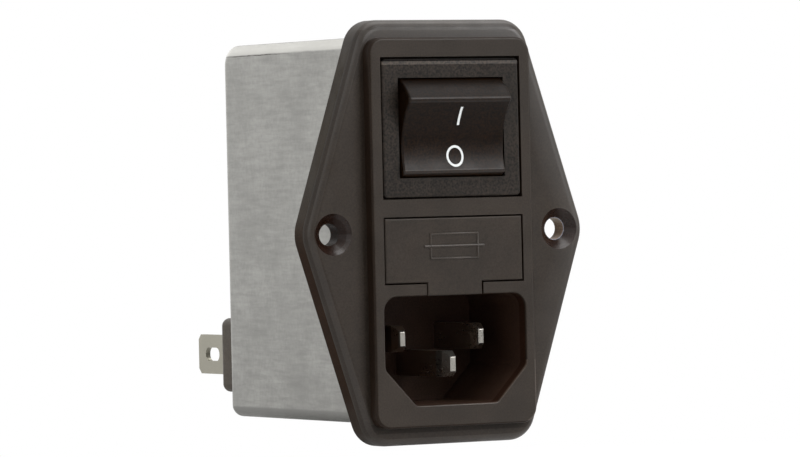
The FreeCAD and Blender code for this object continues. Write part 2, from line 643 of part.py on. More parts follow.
def fuse_clip(word, side):
    """A folded spring clip that grips one end cap, with a tail to the board."""
    body = new_body("fuse_clip_" + word)
    profile = new_sketch(body, "ClipProfile" + word, "YZ")
    inner = "fuse_diameter / 2 + clip_gap"
    outer = f"{inner} + clip_sheet"
    mouth = "live_y - clip_hold"
    base = "chamber_floor - clip_sheet"
    outline(profile, [
        ("tail_end", "-clip_sheet / 2"), ("tail_end", "clip_sheet / 2"),
        ("chamber_floor", "clip_sheet / 2"), ("chamber_floor", outer), (mouth, outer),
        (f"{mouth} - clip_sheet", f"{outer} + clip_sheet / 2"),
        (f"{mouth} - clip_sheet", f"{inner} + clip_sheet / 2"), (mouth, inner),
        (base, inner), (base, f"-({inner})"), (mouth, f"-({inner})"),
        (f"{mouth} - clip_sheet", f"-({inner} + clip_sheet / 2)"),
        (f"{mouth} - clip_sheet", f"-({outer} + clip_sheet / 2)"),
        (mouth, f"-({outer})"), ("chamber_floor", f"-({outer})"),
        ("chamber_floor", "-clip_sheet / 2")])
    pad(body, profile, "clip_width", both=True)
    put(body, f"{side} * (fuse_length - fuse_cap_length) / 2", "0", "fuse_z")


# ---------------------------------------------------------------- rocker switch
def switch_body():
    """Bezel and box in one moulding, with a round chamber that the rocker swings in."""
    body = new_body("switch_body")
    plan = front_sketch(body, "Bezel", "bezel_back")
    rectangle(plan, "-bezel_half_width", "bezel_half_width",
              "-bezel_half_height", "bezel_half_height")
    pad(body, plan, "bezel_thick")
    fillet(body, "bezel_corner_radius", lambda e: runs_along(e, 1))
    fillet(body, "bezel_edge_radius", lambda e: lies_at(e, 1, "face_y"))
    plan = front_sketch(body, "SwitchBlock", "bezel_back")
    rectangle(plan, "-body_half_width", "body_half_width", "-body_half_height", "body_half_height")
    pad(body, plan, "switch_back - bezel_back", reverse=True)
    chamber = new_sketch(body, "RockerChamber", "YZ")
    disc(chamber, "pivot_y", "0", "2 * (rocker_radius + rocker_gap)")
    pocket(body, chamber, "rocker_width + 2 * rocker_side_gap", both=True)
    bores = new_sketch(body, "TrunnionBores", "YZ")
    disc(bores, "pivot_y", "0", "trunnion + 2 * pivot_gap")
    pocket(body, bores, "rocker_width + 2 * (trunnion_length + rocker_side_gap)", both=True)
    poles = front_sketch(body, "PoleChambers", "pivot_y")
    slots = front_sketch(body, "TerminalSlots", "contact_floor")
    reach = "arm_reach + arm_end + 2 * button_rise"
    for side in (-1, 1):
        x = f"{side} * pole_offset"
        rectangle(poles, f"{x} - blade_width / 2 - body_gap", f"{x} + blade_width / 2 + body_gap",
                  f"-({reach})", reach)
        for z in ("0", "-load_drop"):
            rectangle(slots, f"{x} - blade_width / 2 - slot_gap", f"{x} + blade_width / 2 + slot_gap",
                      f"{z} - blade_thick / 2 - slot_gap", f"{z} + blade_thick / 2 + slot_gap")
    pocket(body, poles, "contact_floor - pivot_y")
    pocket(body, slots, "switch_rear_wall")
    latches = new_sketch(body, "Latches", "XY")
    for side in (-1, 1):
        near, far = f"{side} * body_half_width", f"{side} * (body_half_width + snap_rise)"
        start = "panel_back + body_gap"
        outline(latches, [(near, start), (far, start), (near, f"{start} + snap_length")])
    pad(body, latches, "snap_width", both=True)
    put(body, "0", "0", "switch_z")


def rocker():
    """A concave rocker on two stub trunnions, modelled about its pivot."""
    body = new_body("rocker")
    ridge_y = "-sqrt(rocker_radius ^ 2 - rocker_ridge ^ 2)"
    skirt_z = "sqrt(rocker_radius ^ 2 - rocker_skirt ^ 2)"
    hollow = "(rocker_ridge ^ 2 + rocker_hollow ^ 2) / (2 * rocker_hollow)"
    profile = new_sketch(body, "RockerProfile", "YZ")
    outline(profile, [(ridge_y, "-rocker_ridge", "rocker_radius", 1),
                      ("rocker_skirt", f"-{skirt_z}"), ("rocker_skirt", skirt_z, "rocker_radius", 1),
                      (ridge_y, "rocker_ridge", hollow, -1)])
    pad(body, profile, "rocker_width", both=True)
    fillet(body, "ridge_radius",
           lambda e: runs_along(e, 0) and abs(abs(middle(e).z) - value("rocker_ridge")) < NEAR)
    fillet(body, "rocker_edge_radius",
           lambda e: (lies_at(e, 0, "rocker_width / 2") or lies_at(e, 0, "-rocker_width / 2"))
           and middle(e).y < 0)
    inside = front_sketch(body, "RockerInside", "rocker_skirt")
    rectangle(inside, "-(rocker_width / 2 - rocker_wall)", "rocker_width / 2 - rocker_wall",
              f"-({skirt_z} - rocker_wall)", f"{skirt_z} - rocker_wall")
    ceiling = f"{ridge_y} + rocker_hollow + rocker_front_wall"
    pocket(body, inside, f"rocker_skirt - ({ceiling})", reverse=True)
    hubs = front_sketch(body, "Hubs", ceiling)
    bores = front_sketch(body, "PlungerBores", f"{ceiling} + hub_length")
    for side in (-1, 1):
        disc(hubs, f"{side} * pole_offset", "0", "hub")
        disc(bores, f"{side} * pole_offset", "0", "plunger + 2 * plunger_gap")
    pad(body, hubs, "hub_length", reverse=True)
    pocket(body, bores, "hub_length + hub_sink", reverse=True)
    stub = new_sketch(body, "Trunnion", "YZ", "rocker_width / 2")
    disc(stub, "0", "0", "trunnion")
    stub_pad = pad(body, stub, "trunnion_length")
    mirror = body.newObject("PartDesign::Mirrored", "OtherTrunnion")
    mirror.Originals = [stub_pad]
    plane = next(item for item in body.Origin.OriginFeatures if item.Role == "YZ_Plane")
    mirror.MirrorPlane = (plane, [""])
    body.Tip = mirror
    doc.recompute()
    put(body, "0", "pivot_y", "switch_z", (1, 0, 0), "rocker_tilt")


def plunger(word, side):
    """A round-nosed plunger that slides in the rocker's hub, modelled about the pivot."""
    body = new_body("plunger_" + word)
    half = new_sketch(body, "PlungerHalf" + word, "XY")
    back = "plunger_reach - plunger_length"
    round_y = "plunger_reach - plunger / 2"
    outline(half, [("0", back), ("plunger / 2", back), ("plunger / 2", round_y, "plunger / 2", 1),
                   ("0", "plunger_reach")])
    turn = body.newObject("PartDesign::Revolution", "PlungerTurn" + word)
    turn.Profile = half
    turn.ReferenceAxis = (half, ["V_Axis"])
    turn.Angle = 360
    doc.recompute()
    put(body, f"{side} * pole_offset", "pivot_y", "switch_z", (1, 0, 0), "rocker_tilt")


def plunger_spring(word, side):
    """A coil spring between the bottom of the hub's bore and the plunger."""
    wire = value("spring_wire")
    ridge_y = -value("sqrt(rocker_radius ^ 2 - rocker_ridge ^ 2)")
    first = ridge_y + value("rocker_hollow + rocker_front_wall - hub_sink") + wire
    last = value("plunger_reach - plunger_length") - wire
    radius = value("plunger / 2") - wire / 2
    steps = SPRING_STEPS * int(round(value("spring_turns")))
    path = []
    for step in range(steps + 1):
        angle = 2 * math.pi * step / SPRING_STEPS
        path.append(FreeCAD.Vector(radius * math.cos(angle), first + (last - first) * step / steps,
                                   radius * math.sin(angle)))
    add_wire("plunger_spring_" + word, path, wire)
    put(pieces[-1], f"{side} * pole_offset", "pivot_y", "switch_z", (1, 0, 0), "rocker_tilt")


def contact_arm(word, side):
    """A see-saw contact with its button, modelled about the knife edge it rocks on."""
    body = new_body("contact_arm_" + word)
    plan = front_sketch(body, "ArmPlan" + word)
    reach = "arm_reach + arm_end"
    rectangle(plan, "-arm_width / 2", "arm_width / 2", f"-({reach})", reach)
    pad(body, plan, "arm_thick")
    spot = front_sketch(body, "ButtonPlan" + word)
    disc(spot, "0", "-arm_reach", "button")
    pad(body, spot, "button_rise", reverse=True)
    put(body, f"{side} * pole_offset", "arm_back", "switch_z", (-1, 0, 0), "rocker_tilt")


def common_terminal(word, side):
    """The blade whose front end is the see-saw's knife edge."""
    body = new_body("common_terminal_" + word)
    profile = new_sketch(body, "KnifeProfile" + word, "YZ")
    tip = "arm_back + contact_gap"
    outline(profile, [(tip, "-knife_edge / 2"), (f"{tip} + blade_thick", "-blade_thick / 2"),
                      ("tail_end", "-blade_thick / 2"), ("tail_end", "blade_thick / 2"),
                      (f"{tip} + blade_thick", "blade_thick / 2"), (tip, "knife_edge / 2")])
    pad(body, profile, "blade_width", both=True)
    put(body, f"{side} * pole_offset", "0", "switch_z")


def load_terminal(word, side):
    """A folded blade: its foot is the fixed contact under the see-saw's button."""
    body = new_body("load_terminal_" + word)
    profile = new_sketch(body, "FootProfile" + word, "YZ")
    outline(profile, [("foot_front", "-blade_thick / 2"), ("tail_end", "-blade_thick / 2"),
                      ("tail_end", "blade_thick / 2"), ("contact_floor", "blade_thick / 2"),
                      ("contact_floor", "blade_thick + button"),
                      ("foot_front", "blade_thick + button")])
    pad(body, profile, "blade_width", both=True)
    put(body, f"{side} * pole_offset", "0", "switch_z - load_drop")


# ---------------------------------------------------------------- filter can and terminals
def can_block(name, wide, low, high, depth, trim="0"):
    """A solid block with the can's rounded edges: its outside, or the room a sheet inside it."""
    body = doc.addObject("PartDesign::Body", name)
    profile = new_sketch(body, name + "Profile", "YZ")
    rectangle(profile, "can_start", depth, low, high)
    pad(body, profile, f"2 * {wide}", both=True)
    for radius, place in (("can_back_radius", high), ("can_low_radius", low)):
        fillet(body, f"({radius} - {trim})",
               lambda e: lies_at(e, 1, depth) and lies_at(e, 2, place))
    fillet(body, f"(can_corner_radius - {trim})",
           lambda e: (lies_at(e, 0, wide) or lies_at(e, 0, f"-{wide}"))
           and not lies_at(e, 1, "can_start"))
    return body


def shield_can():
    """A drawn steel can with rounded edges, open at the front."""
    outside = can_block("CanOutside", "can_half_width", "can_low", "can_high", "can_depth")
    holes = front_sketch(outside, "BushHoles", "can_depth - can_sheet")
    neck_x = "tab_thick / 2 + bush_neck_wall + slot_gap"
    neck_z = "tab_height / 2 + bush_neck_wall + slot_gap"
    for side in (-1, 1):
        x = f"{side} * tab_x"
        rectangle(holes, f"{x} - ({neck_x})", f"{x} + {neck_x}",
                  f"-tab_drop - ({neck_z})", f"-tab_drop + {neck_z}")
    disc(holes, "earth_foot / 2", "-tab_drop", "rivet + 2 * slot_gap")
    pocket(outside, holes, "can_sheet")
    windows = new_sketch(outside, "CatchWindows", "XY")
    rectangle(windows, "-catch_width / 2 - body_gap", "catch_width / 2 + body_gap",
              "catch_depth - body_gap", "catch_depth + catch_length + body_gap")
    pocket(outside, windows, "2 * boss_height", both=True)
    strap = new_sketch(outside, "StrapHole", "XY", "can_low + 2 * can_sheet")
    disc(strap, "0", "strap_rivet_y", "rivet + 2 * slot_gap")
    pocket(outside, strap, "2 * can_sheet")
    room = can_block("CanRoom", "room_half_width", "room_low", "room_high",
                     "(can_depth - can_sheet)", "can_sheet")
    can = doc.addObject("Part::Cut", "shield_can")
    can.Label = can.Name
    can.Base = outside
    can.Tool = room
    pieces.append(can)
    put(can)


def tab_bush(word, side):
    """A moulded insulator: rounded block outside, neck through the can, lip inside."""
    body = new_body("tab_bush_" + word)
    wide, tall = "tab_thick / 2 + bush_side_wall", "tab_height / 2 + bush_end_wall"
    plan = front_sketch(body, "BushBlock" + word, "can_depth")
    rectangle(plan, f"-({wide})", wide, f"-({tall})", tall)
    pad(body, plan, "bush_rise", reverse=True)
    fillet(body, "bush_radius", lambda e: runs_along(e, 1))
    fillet(body, "bush_radius", lambda e: lies_at(e, 1, "bush_end"))
    neck = front_sketch(body, "BushNeck" + word, "can_depth")
    rectangle(neck, "-(tab_thick / 2 + bush_neck_wall)", "tab_thick / 2 + bush_neck_wall",
              "-(tab_height / 2 + bush_neck_wall)", "tab_height / 2 + bush_neck_wall")
    pad(body, neck, "can_sheet + bush_lip_gap")
    lip = front_sketch(body, "BushLip" + word, "can_depth - can_sheet - bush_lip_gap")
    reach = "tab_height / 2 + bush_neck_wall + bush_lip"
    rectangle(lip, "-(tab_thick / 2 + bush_neck_wall)", "tab_thick / 2 + bush_neck_wall",
              f"-({reach})", reach)
    pad(body, lip, "bush_lip_thick")
    slot = front_sketch(body, "BushSlot" + word, "bush_front")
    rectangle(slot, "-tab_thick / 2 - slot_gap", "tab_thick / 2 + slot_gap",
              "-tab_height / 2 - slot_gap", "tab_height / 2 + slot_gap")
    pocket(body, slot, "bush_end - bush_front")
    put(body, f"{side} * tab_x", "0", "-tab_drop")


def blade_outline(sketch, root):
    """The quick-connect blade with bevelled end corners, from its root to its end."""
    outline(sketch, root + [
        ("tab_end - tab_bevel", "-tab_height / 2"), ("tab_end", "-tab_height / 2 + tab_bevel"),
        ("tab_end", "tab_height / 2 - tab_bevel"), ("tab_end - tab_bevel", "tab_height / 2")])
    rounded_rectangle(sketch, "tab_end - tab_slot_edge - tab_slot_length", "tab_end - tab_slot_edge",
                      "-tab_slot / 2", "tab_slot / 2", "(tab_slot / 2 - slot_gap)")


def output_tab(name, side):
    """A live blade: through its bush, then a narrower tail down to the board."""
    body = new_body(name)
    profile = new_sketch(body, name + "Profile", "YZ")
    root_y = "bush_front - slot_gap"
    first = "board_front - tail_proud"
    blade_outline(profile, [(root_y, "tab_height / 2"), (root_y, "tab_tail / 2"),
                            (first, "tab_tail / 2"), (first, "-tab_tail / 2"),
                            (root_y, "-tab_tail / 2"), (root_y, "-tab_height / 2")])
    pad(body, profile, "tab_thick", both=True)
    put(body, f"{side} * tab_x", "0", "-tab_drop")


def earth_tab():
    """A blade folded from a foot that is riveted to the can's back."""
    body = new_body("earth_tab")
    profile = new_sketch(body, "EarthBlade", "YZ")
    blade_outline(profile, [("can_depth", "tab_height / 2"), ("can_depth", "-tab_height / 2")])
    pad(body, profile, "tab_thick", both=True)
    foot = front_sketch(body, "EarthFoot", "can_depth")
    rectangle(foot, "-tab_thick / 2", "earth_foot", "-tab_height / 2", "tab_height / 2")
    pad(body, foot, "tab_thick", reverse=True)
    hole = front_sketch(body, "EarthHole", "can_depth")
    disc(hole, "earth_foot / 2", "0", "rivet + 2 * slot_gap")
    pocket(body, hole, "tab_thick")
    put(body, "0", "0", "-tab_drop")


def rivet(name, grip):
    """A rivet set from both sides, modelled with its axis along +Z from the inner head."""
    body = new_body(name)
    half = new_sketch(body, name + "Half", "XZ")
    shank, head, crown = "rivet / 2", "rivet_head / 2", "rivet_crown / 2"
    outline(half, [("0", "-rivet_head_rise"), (crown, "-rivet_head_rise"), (head, "0"),
                   (shank, "0"), (shank, grip), (head, grip),
                   (crown, f"{grip} + rivet_head_rise"), ("0", f"{grip} + rivet_head_rise")])
    turn = body.newObject("PartDesign::Revolution", name + "Turn")
    turn.Profile = half
    turn.ReferenceAxis = (half, ["V_Axis"])
    turn.Angle = 360
    doc.recompute()
    return body


def earth_strap():
    """A folded strip from the earth pin's tail down to the can's floor."""
    body = new_body("earth_strap")
    profile = new_sketch(body, "StrapProfile", "YZ")
    outline(profile, [("strap_front", "room_low"), ("strap_back", "room_low"),
                      ("strap_back", "room_low + strap_sheet"),
                      ("strap_front + strap_sheet", "room_low + strap_sheet"),
                      ("strap_front + strap_sheet", "earth_z + strap_top"),
                      ("strap_front", "earth_z + strap_top")])
    pad(body, profile, "strap_width", both=True)
    slot = front_sketch(body, "StrapSlot", "strap_front")
    rectangle(slot, "-tail_thick / 2 - slot_gap", "tail_thick / 2 + slot_gap",
              "earth_z - tail_height / 2 - slot_gap", "earth_z + tail_height / 2 + slot_gap")
    pocket(body, slot, "strap_sheet")
    hole = new_sketch(body, "StrapRivetHole", "XY", "room_low + strap_sheet")
    disc(hole, "0", "strap_rivet_y", "rivet + 2 * slot_gap")
    pocket(body, hole, "strap_sheet")
    put(body)


# ---------------------------------------------------------------- filter board
def circuit_board():
    """The board that every inner terminal and filter part is soldered into."""
    body = new_body("circuit_board")
    plan = front_sketch(body, "BoardPlan", "board_front")
    rectangle(plan, "-(room_half_width - board_gap)", "room_half_width - board_gap",
              "room_low + board_gap", "room_high - board_gap")
    pad(body, plan, "board_thick", reverse=True)
    fillet(body, "can_corner_radius", lambda e: runs_along(e, 1))
    slots = front_sketch(body, "BoardSlots", "board_front")

    def slot(x, z, half_wide, half_tall):
        rectangle(slots, f"{x} - ({half_wide}) - slot_gap", f"{x} + {half_wide} + slot_gap",
                  f"{z} - ({half_tall}) - slot_gap", f"{z} + {half_tall} + slot_gap")

    for side in (-1, 1):
        slot(f"{side} * pin_spacing / 2", "pin_z", "tail_thick / 2", "tail_height / 2")
        slot(f"{side} * (fuse_length - fuse_cap_length) / 2", "fuse_z",
             "clip_width / 2", "clip_sheet / 2")
        slot(f"{side} * pole_offset", "switch_z", "blade_width / 2", "blade_thick / 2")
        slot(f"{side} * pole_offset", "switch_z - load_drop", "blade_width / 2", "blade_thick / 2")
        slot(f"{side} * tab_x", "-tab_drop", "tab_thick / 2", "tab_tail / 2")
        for x, z in lead_places(side):
            disc(slots, x, z, "lead + 2 * lead_gap")
    pocket(body, slots, "board_thick")
    put(body)


def lead_places(side):
    """Where the filter parts' leads of one side pass through the board."""
    return [(f"{side} * x_capacitor_pitch / 2", "x_capacitor_z"),
            (f"{side} * resistor_pitch / 2", "resistor_z"),
            (f"{side} * y_capacitor_offset - y_capacitor_pitch / 2", "y_capacitor_z"),
            (f"{side} * y_capacitor_offset + y_capacitor_pitch / 2", "y_capacitor_z"),
            (f"{side} * winding_radius * cos(choke_span / 2)",
             "choke_z + winding_radius * sin(choke_span / 2)"),
            (f"{side} * winding_radius * cos(choke_span / 2)",
             "choke_z - winding_radius * sin(choke_span / 2)")]


def add_leads(body, name, places, top):
    """Round leads from a part's underside through the board."""
    plan = front_sketch(body, name + "Leads", "board_front - tail_proud")
    for x, z in places:
        disc(plan, x, z, "lead")
    pad(body, plan, f"{top} - board_front + tail_proud", reverse=True)


def x_capacitor():
    body = new_body("x_capacitor")
    plan = front_sketch(body, "XBox", "seat_y")
    rectangle(plan, "-x_capacitor_width / 2", "x_capacitor_width / 2",
              "x_capacitor_z - x_capacitor_thick / 2", "x_capacitor_z + x_capacitor_thick / 2")
    pad(body, plan, "x_capacitor_height", reverse=True)
    chamfer(body, "part_standoff", lambda e: not lies_at(e, 1, "seat_y"))
    add_leads(body, "X", [(f"{side} * x_capacitor_pitch / 2", "x_capacitor_z")
                          for side in (-1, 1)], "seat_y + part_standoff")
    put(body)


def y_capacitor(word, side):
    """A dipped disc capacitor standing on its two leads."""
    body = new_body("y_capacitor_" + word)
    x = f"{side} * y_capacitor_offset"
    centre = "seat_y + y_capacitor_diameter / 2"
    plan = new_sketch(body, "YDisc" + word, "XY", "y_capacitor_z")
    disc(plan, x, centre, "y_capacitor_diameter")
    pad(body, plan, "y_capacitor_thick", both=True)
    chamfer(body, "y_capacitor_radius", lambda e: isinstance(e.Curve, Part.Circle))
    add_leads(body, "Y" + word, [(f"{x} {sign} y_capacitor_pitch / 2", "y_capacitor_z")
                                 for sign in "-+"], centre)
    put(body)


def bleed_resistor():
    """An axial resistor lying on the board, with bent leads."""
    body = new_body("bleed_resistor")
    centre = "seat_y + resistor_diameter / 2"
    barrel = new_sketch(body, "Barrel", "YZ")
    disc(barrel, centre, "resistor_z", "resistor_diameter")
    pad(body, barrel, "resistor_length", both=True)
    chamfer(body, "resistor_radius", lambda e: isinstance(e.Curve, Part.Circle))
    lead = new_sketch(body, "ResistorLead", "YZ")
    disc(lead, centre, "resistor_z", "lead")
    pad(body, lead, "resistor_pitch + lead", both=True)
    add_leads(body, "Resistor", [(f"{side} * resistor_pitch / 2", "resistor_z")
                                 for side in (-1, 1)], centre)
    put(body)


def choke_core():
    """A coated ring core, flat above the board."""
    body = new_body("choke_core")
    plan = front_sketch(body, "Ring", "seat_y + choke_wire_gap + choke_wire")
    disc(plan, "0", "choke_z", "choke_diameter")
    disc(plan, "0", "choke_z", "choke_bore")
    pad(body, plan, "choke_height", reverse=True)
    put(body)


def choke_winding(word, side):
    """One winding: a wire wound round half of the ring, with its two tails to the board."""
    inner = value("choke_bore / 2 - choke_wire_gap - choke_wire / 2")
    outer = value("winding_radius")
    near = value("seat_y + choke_wire / 2")
    far = near + value("choke_height + 2 * choke_wire_gap + choke_wire")
    corners = [(outer, near), (outer, far), (inner, far), (inner, near)]
    steps = 4 * int(round(value("choke_turns")))
    span = math.radians(value("choke_span"))
    path = []
    for step in range(steps + 1):
        radius, y = corners[step % 4]
        angle = span * (step / steps - 0.5)
        path.append(FreeCAD.Vector(side * radius * math.cos(angle), y, radius * math.sin(angle)))
    tail_y = value("board_front - tail_proud")
    path.insert(0, FreeCAD.Vector(path[0].x, tail_y, path[0].z))
    path.append(FreeCAD.Vector(path[-1].x, tail_y, path[-1].z))
    add_wire("choke_winding_" + word, path, value("choke_wire"))
    put(pieces[-1], "0", "0", "choke_z")


# ---------------------------------------------------------------- build
SIDES = (("left", -1), ("right", 1))

front_housing()
contact_pin("line_pin", "pin_spacing / 2", "pin_z", "pin_recess", "tail_end")
contact_pin("neutral_pin", "-pin_spacing / 2", "pin_z", "pin_recess", "tail_end")
contact_pin("earth_pin", "0", "earth_z", "earth_recess", "strap_front + strap_sheet + tail_proud")
fuse_drawer()
fuse("", "live_y")
fuse("spare_", "spare_y")
switch_body()
rocker()
for word, side in SIDES:
    fuse_clip(word, side)
    plunger(word, side)
    plunger_spring(word, side)
    contact_arm(word, side)
    common_terminal(word, side)
    load_terminal(word, side)
    tab_bush(word, side)
    y_capacitor(word, side)
    choke_winding(word, side)
shield_can()
output_tab("neutral_tab", -1)
output_tab("line_tab", 1)
earth_tab()
earth_rivet = rivet("earth_rivet", "can_sheet + tab_thick")
put(earth_rivet, "earth_foot / 2", "can_depth - can_sheet", "-tab_drop", (-1, 0, 0), "90")
earth_strap()
strap_rivet = rivet("strap_rivet", "can_sheet + strap_sheet")
put(strap_rivet, "0", "strap_rivet_y", "can_low")
circuit_board()
x_capacitor()
bleed_resistor()
choke_core()
doc.recompute()

# ---------------------------------------------------------------- check and write
for item in doc.Objects:
    if "Invalid" in item.State or "Error" in item.State:
        raise RuntimeError(f"{item.Label} failed: {item.State}")
for piece in pieces:
    shape = piece.Shape
    if shape.isNull() or not shape.isValid() or shape.Volume <= 0:
        raise RuntimeError(f"{piece.Label} has no valid shape")

os.makedirs("parts", exist_ok=True)
for piece in pieces:
    piece.Shape.exportStep(f"parts/{piece.Label}.step")
    print(f"{piece.Label:24s} {len(piece.Shape.Solids)} solid {piece.Shape.Volume:10.2f} mm3")
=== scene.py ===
# %% [markdown]
# # A panel power inlet, dressed in Blender
# The object is a small module that brings mains power through a panel: a black moulded
# flange with a rocker switch, a fuse drawer and a C14 inlet, and behind it a steel can
# that holds the filter. Its solids come from a CAD model, which we load as a fixed frame.
# Blender works in metres, and where a number is in millimetres its name or a note says so.
# +X is right seen from the front, +Z is up and the front looks along -Y, so we never have
# to fit a piece by eye: the frame says where things are.

# %% Load the frame
import json
import math

import bpy
from mathutils import Matrix, Vector
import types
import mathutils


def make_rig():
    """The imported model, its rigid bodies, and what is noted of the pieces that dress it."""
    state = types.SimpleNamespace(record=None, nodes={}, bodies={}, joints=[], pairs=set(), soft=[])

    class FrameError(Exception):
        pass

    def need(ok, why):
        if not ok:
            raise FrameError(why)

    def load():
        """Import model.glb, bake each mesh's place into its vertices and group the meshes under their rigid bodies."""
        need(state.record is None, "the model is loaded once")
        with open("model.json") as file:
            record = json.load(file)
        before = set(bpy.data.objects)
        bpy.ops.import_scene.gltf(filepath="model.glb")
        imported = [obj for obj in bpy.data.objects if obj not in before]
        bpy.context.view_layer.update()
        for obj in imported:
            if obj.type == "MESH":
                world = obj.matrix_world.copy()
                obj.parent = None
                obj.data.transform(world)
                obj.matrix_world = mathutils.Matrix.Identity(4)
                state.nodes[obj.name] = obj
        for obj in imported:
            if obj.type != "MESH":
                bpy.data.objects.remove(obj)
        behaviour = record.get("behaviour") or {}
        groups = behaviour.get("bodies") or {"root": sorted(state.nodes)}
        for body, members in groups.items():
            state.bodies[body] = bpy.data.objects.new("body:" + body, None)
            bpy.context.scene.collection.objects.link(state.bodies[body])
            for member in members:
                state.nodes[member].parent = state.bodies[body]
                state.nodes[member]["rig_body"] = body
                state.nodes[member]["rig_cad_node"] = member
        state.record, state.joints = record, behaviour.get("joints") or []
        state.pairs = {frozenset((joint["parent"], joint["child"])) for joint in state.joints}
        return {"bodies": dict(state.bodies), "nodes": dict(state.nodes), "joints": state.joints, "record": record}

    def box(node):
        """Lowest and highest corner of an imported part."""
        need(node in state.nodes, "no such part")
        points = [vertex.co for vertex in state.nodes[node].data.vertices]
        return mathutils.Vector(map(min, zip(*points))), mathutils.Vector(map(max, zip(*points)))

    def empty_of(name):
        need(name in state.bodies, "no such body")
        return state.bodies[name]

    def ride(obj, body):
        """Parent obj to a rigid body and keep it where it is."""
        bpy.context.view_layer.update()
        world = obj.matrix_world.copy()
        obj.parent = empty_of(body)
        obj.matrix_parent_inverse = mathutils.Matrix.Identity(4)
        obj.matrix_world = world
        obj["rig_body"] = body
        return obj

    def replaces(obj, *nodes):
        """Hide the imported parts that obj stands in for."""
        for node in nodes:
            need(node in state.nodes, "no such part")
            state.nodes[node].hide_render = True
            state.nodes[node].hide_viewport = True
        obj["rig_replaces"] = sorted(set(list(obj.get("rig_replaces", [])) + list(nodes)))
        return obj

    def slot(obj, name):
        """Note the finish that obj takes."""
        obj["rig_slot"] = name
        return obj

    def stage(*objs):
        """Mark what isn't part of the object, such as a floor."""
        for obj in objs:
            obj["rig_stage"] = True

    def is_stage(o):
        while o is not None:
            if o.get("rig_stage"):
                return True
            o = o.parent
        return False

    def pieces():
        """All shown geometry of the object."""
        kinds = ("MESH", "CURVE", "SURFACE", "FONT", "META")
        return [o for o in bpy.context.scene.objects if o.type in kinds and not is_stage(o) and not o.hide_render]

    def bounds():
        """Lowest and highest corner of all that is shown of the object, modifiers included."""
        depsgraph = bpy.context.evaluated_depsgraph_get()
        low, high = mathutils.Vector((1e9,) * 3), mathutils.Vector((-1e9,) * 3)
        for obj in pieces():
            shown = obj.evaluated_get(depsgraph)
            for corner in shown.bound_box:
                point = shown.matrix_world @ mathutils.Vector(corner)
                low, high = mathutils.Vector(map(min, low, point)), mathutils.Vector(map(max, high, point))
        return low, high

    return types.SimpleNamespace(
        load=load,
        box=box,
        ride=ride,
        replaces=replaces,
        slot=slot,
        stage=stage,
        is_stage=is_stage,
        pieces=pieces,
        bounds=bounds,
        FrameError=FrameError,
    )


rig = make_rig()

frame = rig.load()
cad_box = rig.bounds()
MM = 0.001
print("bodies:", ", ".join(frame["bodies"]))
print("nodes:", len(frame["nodes"]))

# %% [markdown]
# ## The camera
# A long lens from the front left, almost level with the middle of the flange. A short lens
# would make the near side loom; a long one keeps the flange's sides nearly parallel, as a
# product picture wants. We could type in three angles, but a place, a target and a small
# roll are easier to read, so `aim` builds the camera's own directions from those.

# %% Place the camera
CAMERA_PLACE = Vector((-406.39, -693.66, 7.96)) * MM
CAMERA_TARGET = Vector((-6.096, 0.0, 0.630)) * MM
CAMERA_ROLL = math.radians(-1.301)
CAMERA_LENS = 235.5


def aim(place, target, roll=0.0):
    """A matrix that stands at place and looks at target, with its right side tipped by roll."""
    ahead = (target - place).normalized()
    right = ahead.cross(Vector((0, 0, 1))).normalized()
    up = right.cross(ahead)
    tipped_right = right * math.cos(roll) + up * math.sin(roll)
    tipped_up = up * math.cos(roll) - right * math.sin(roll)
    turn = Matrix((tipped_right, tipped_up, -ahead)).transposed()
    return Matrix.Translation(place) @ turn.to_4x4()


scene = bpy.context.scene
camera_data = bpy.data.cameras.new("camera")
camera_data.lens = CAMERA_LENS
camera_data.sensor_width = 36.0
camera_data.clip_start = 0.01
camera_data.clip_end = 20.0
camera = bpy.data.objects.new("camera", camera_data)
scene.collection.objects.link(camera)
camera.matrix_world = aim(CAMERA_PLACE, CAMERA_TARGET, CAMERA_ROLL)
scene.camera = camera
scene.view_settings.view_transform = "Standard"
print("camera to target:", round((CAMERA_PLACE - CAMERA_TARGET).length, 4), "m")

# %% [markdown]
# ## One call for one node
# Materials, the sky and Geometry Nodes are all trees of nodes. In the editor we would drop
# and wire each node by hand; in a script the same wiring soon hides what it is for. So
# `add_node` makes a node and feeds its inputs in one call, for any kind of tree.

# %% Helpers for nodes


def feed(socket, source):
    """Link an output to a socket, or write a plain number or colour into it."""
    if isinstance(source, bpy.types.NodeSocket):
        socket.id_data.links.new(source, socket)
    else:
        socket.default_value = source


def add_node(tree, kind, sources=(), **settings):
    """Add a node, set its properties and feed its inputs by name or number."""
    node = tree.nodes.new(kind)
    for title, setting in settings.items():
        setattr(node, title, setting)
    for key, source in dict(sources).items():
        feed(node.inputs[key], source)
    return node


print("node helpers:", feed.__name__, add_node.__name__)

# %% [markdown]
# ## Writing finishes with few words
# A finish is a small network that ends in one shader. One of Blender's ready shaders with
# a single colour would look like a toy: real skins vary a little everywhere. In `Finish`
# the methods `noise`, `range`, `mix` and `bump` each make one node and hand back its
# output, so a pattern reads like a formula. A value that is the same all over a surface is
# set on the shader itself; only what varies comes in through a link.

# %% A helper for finishes


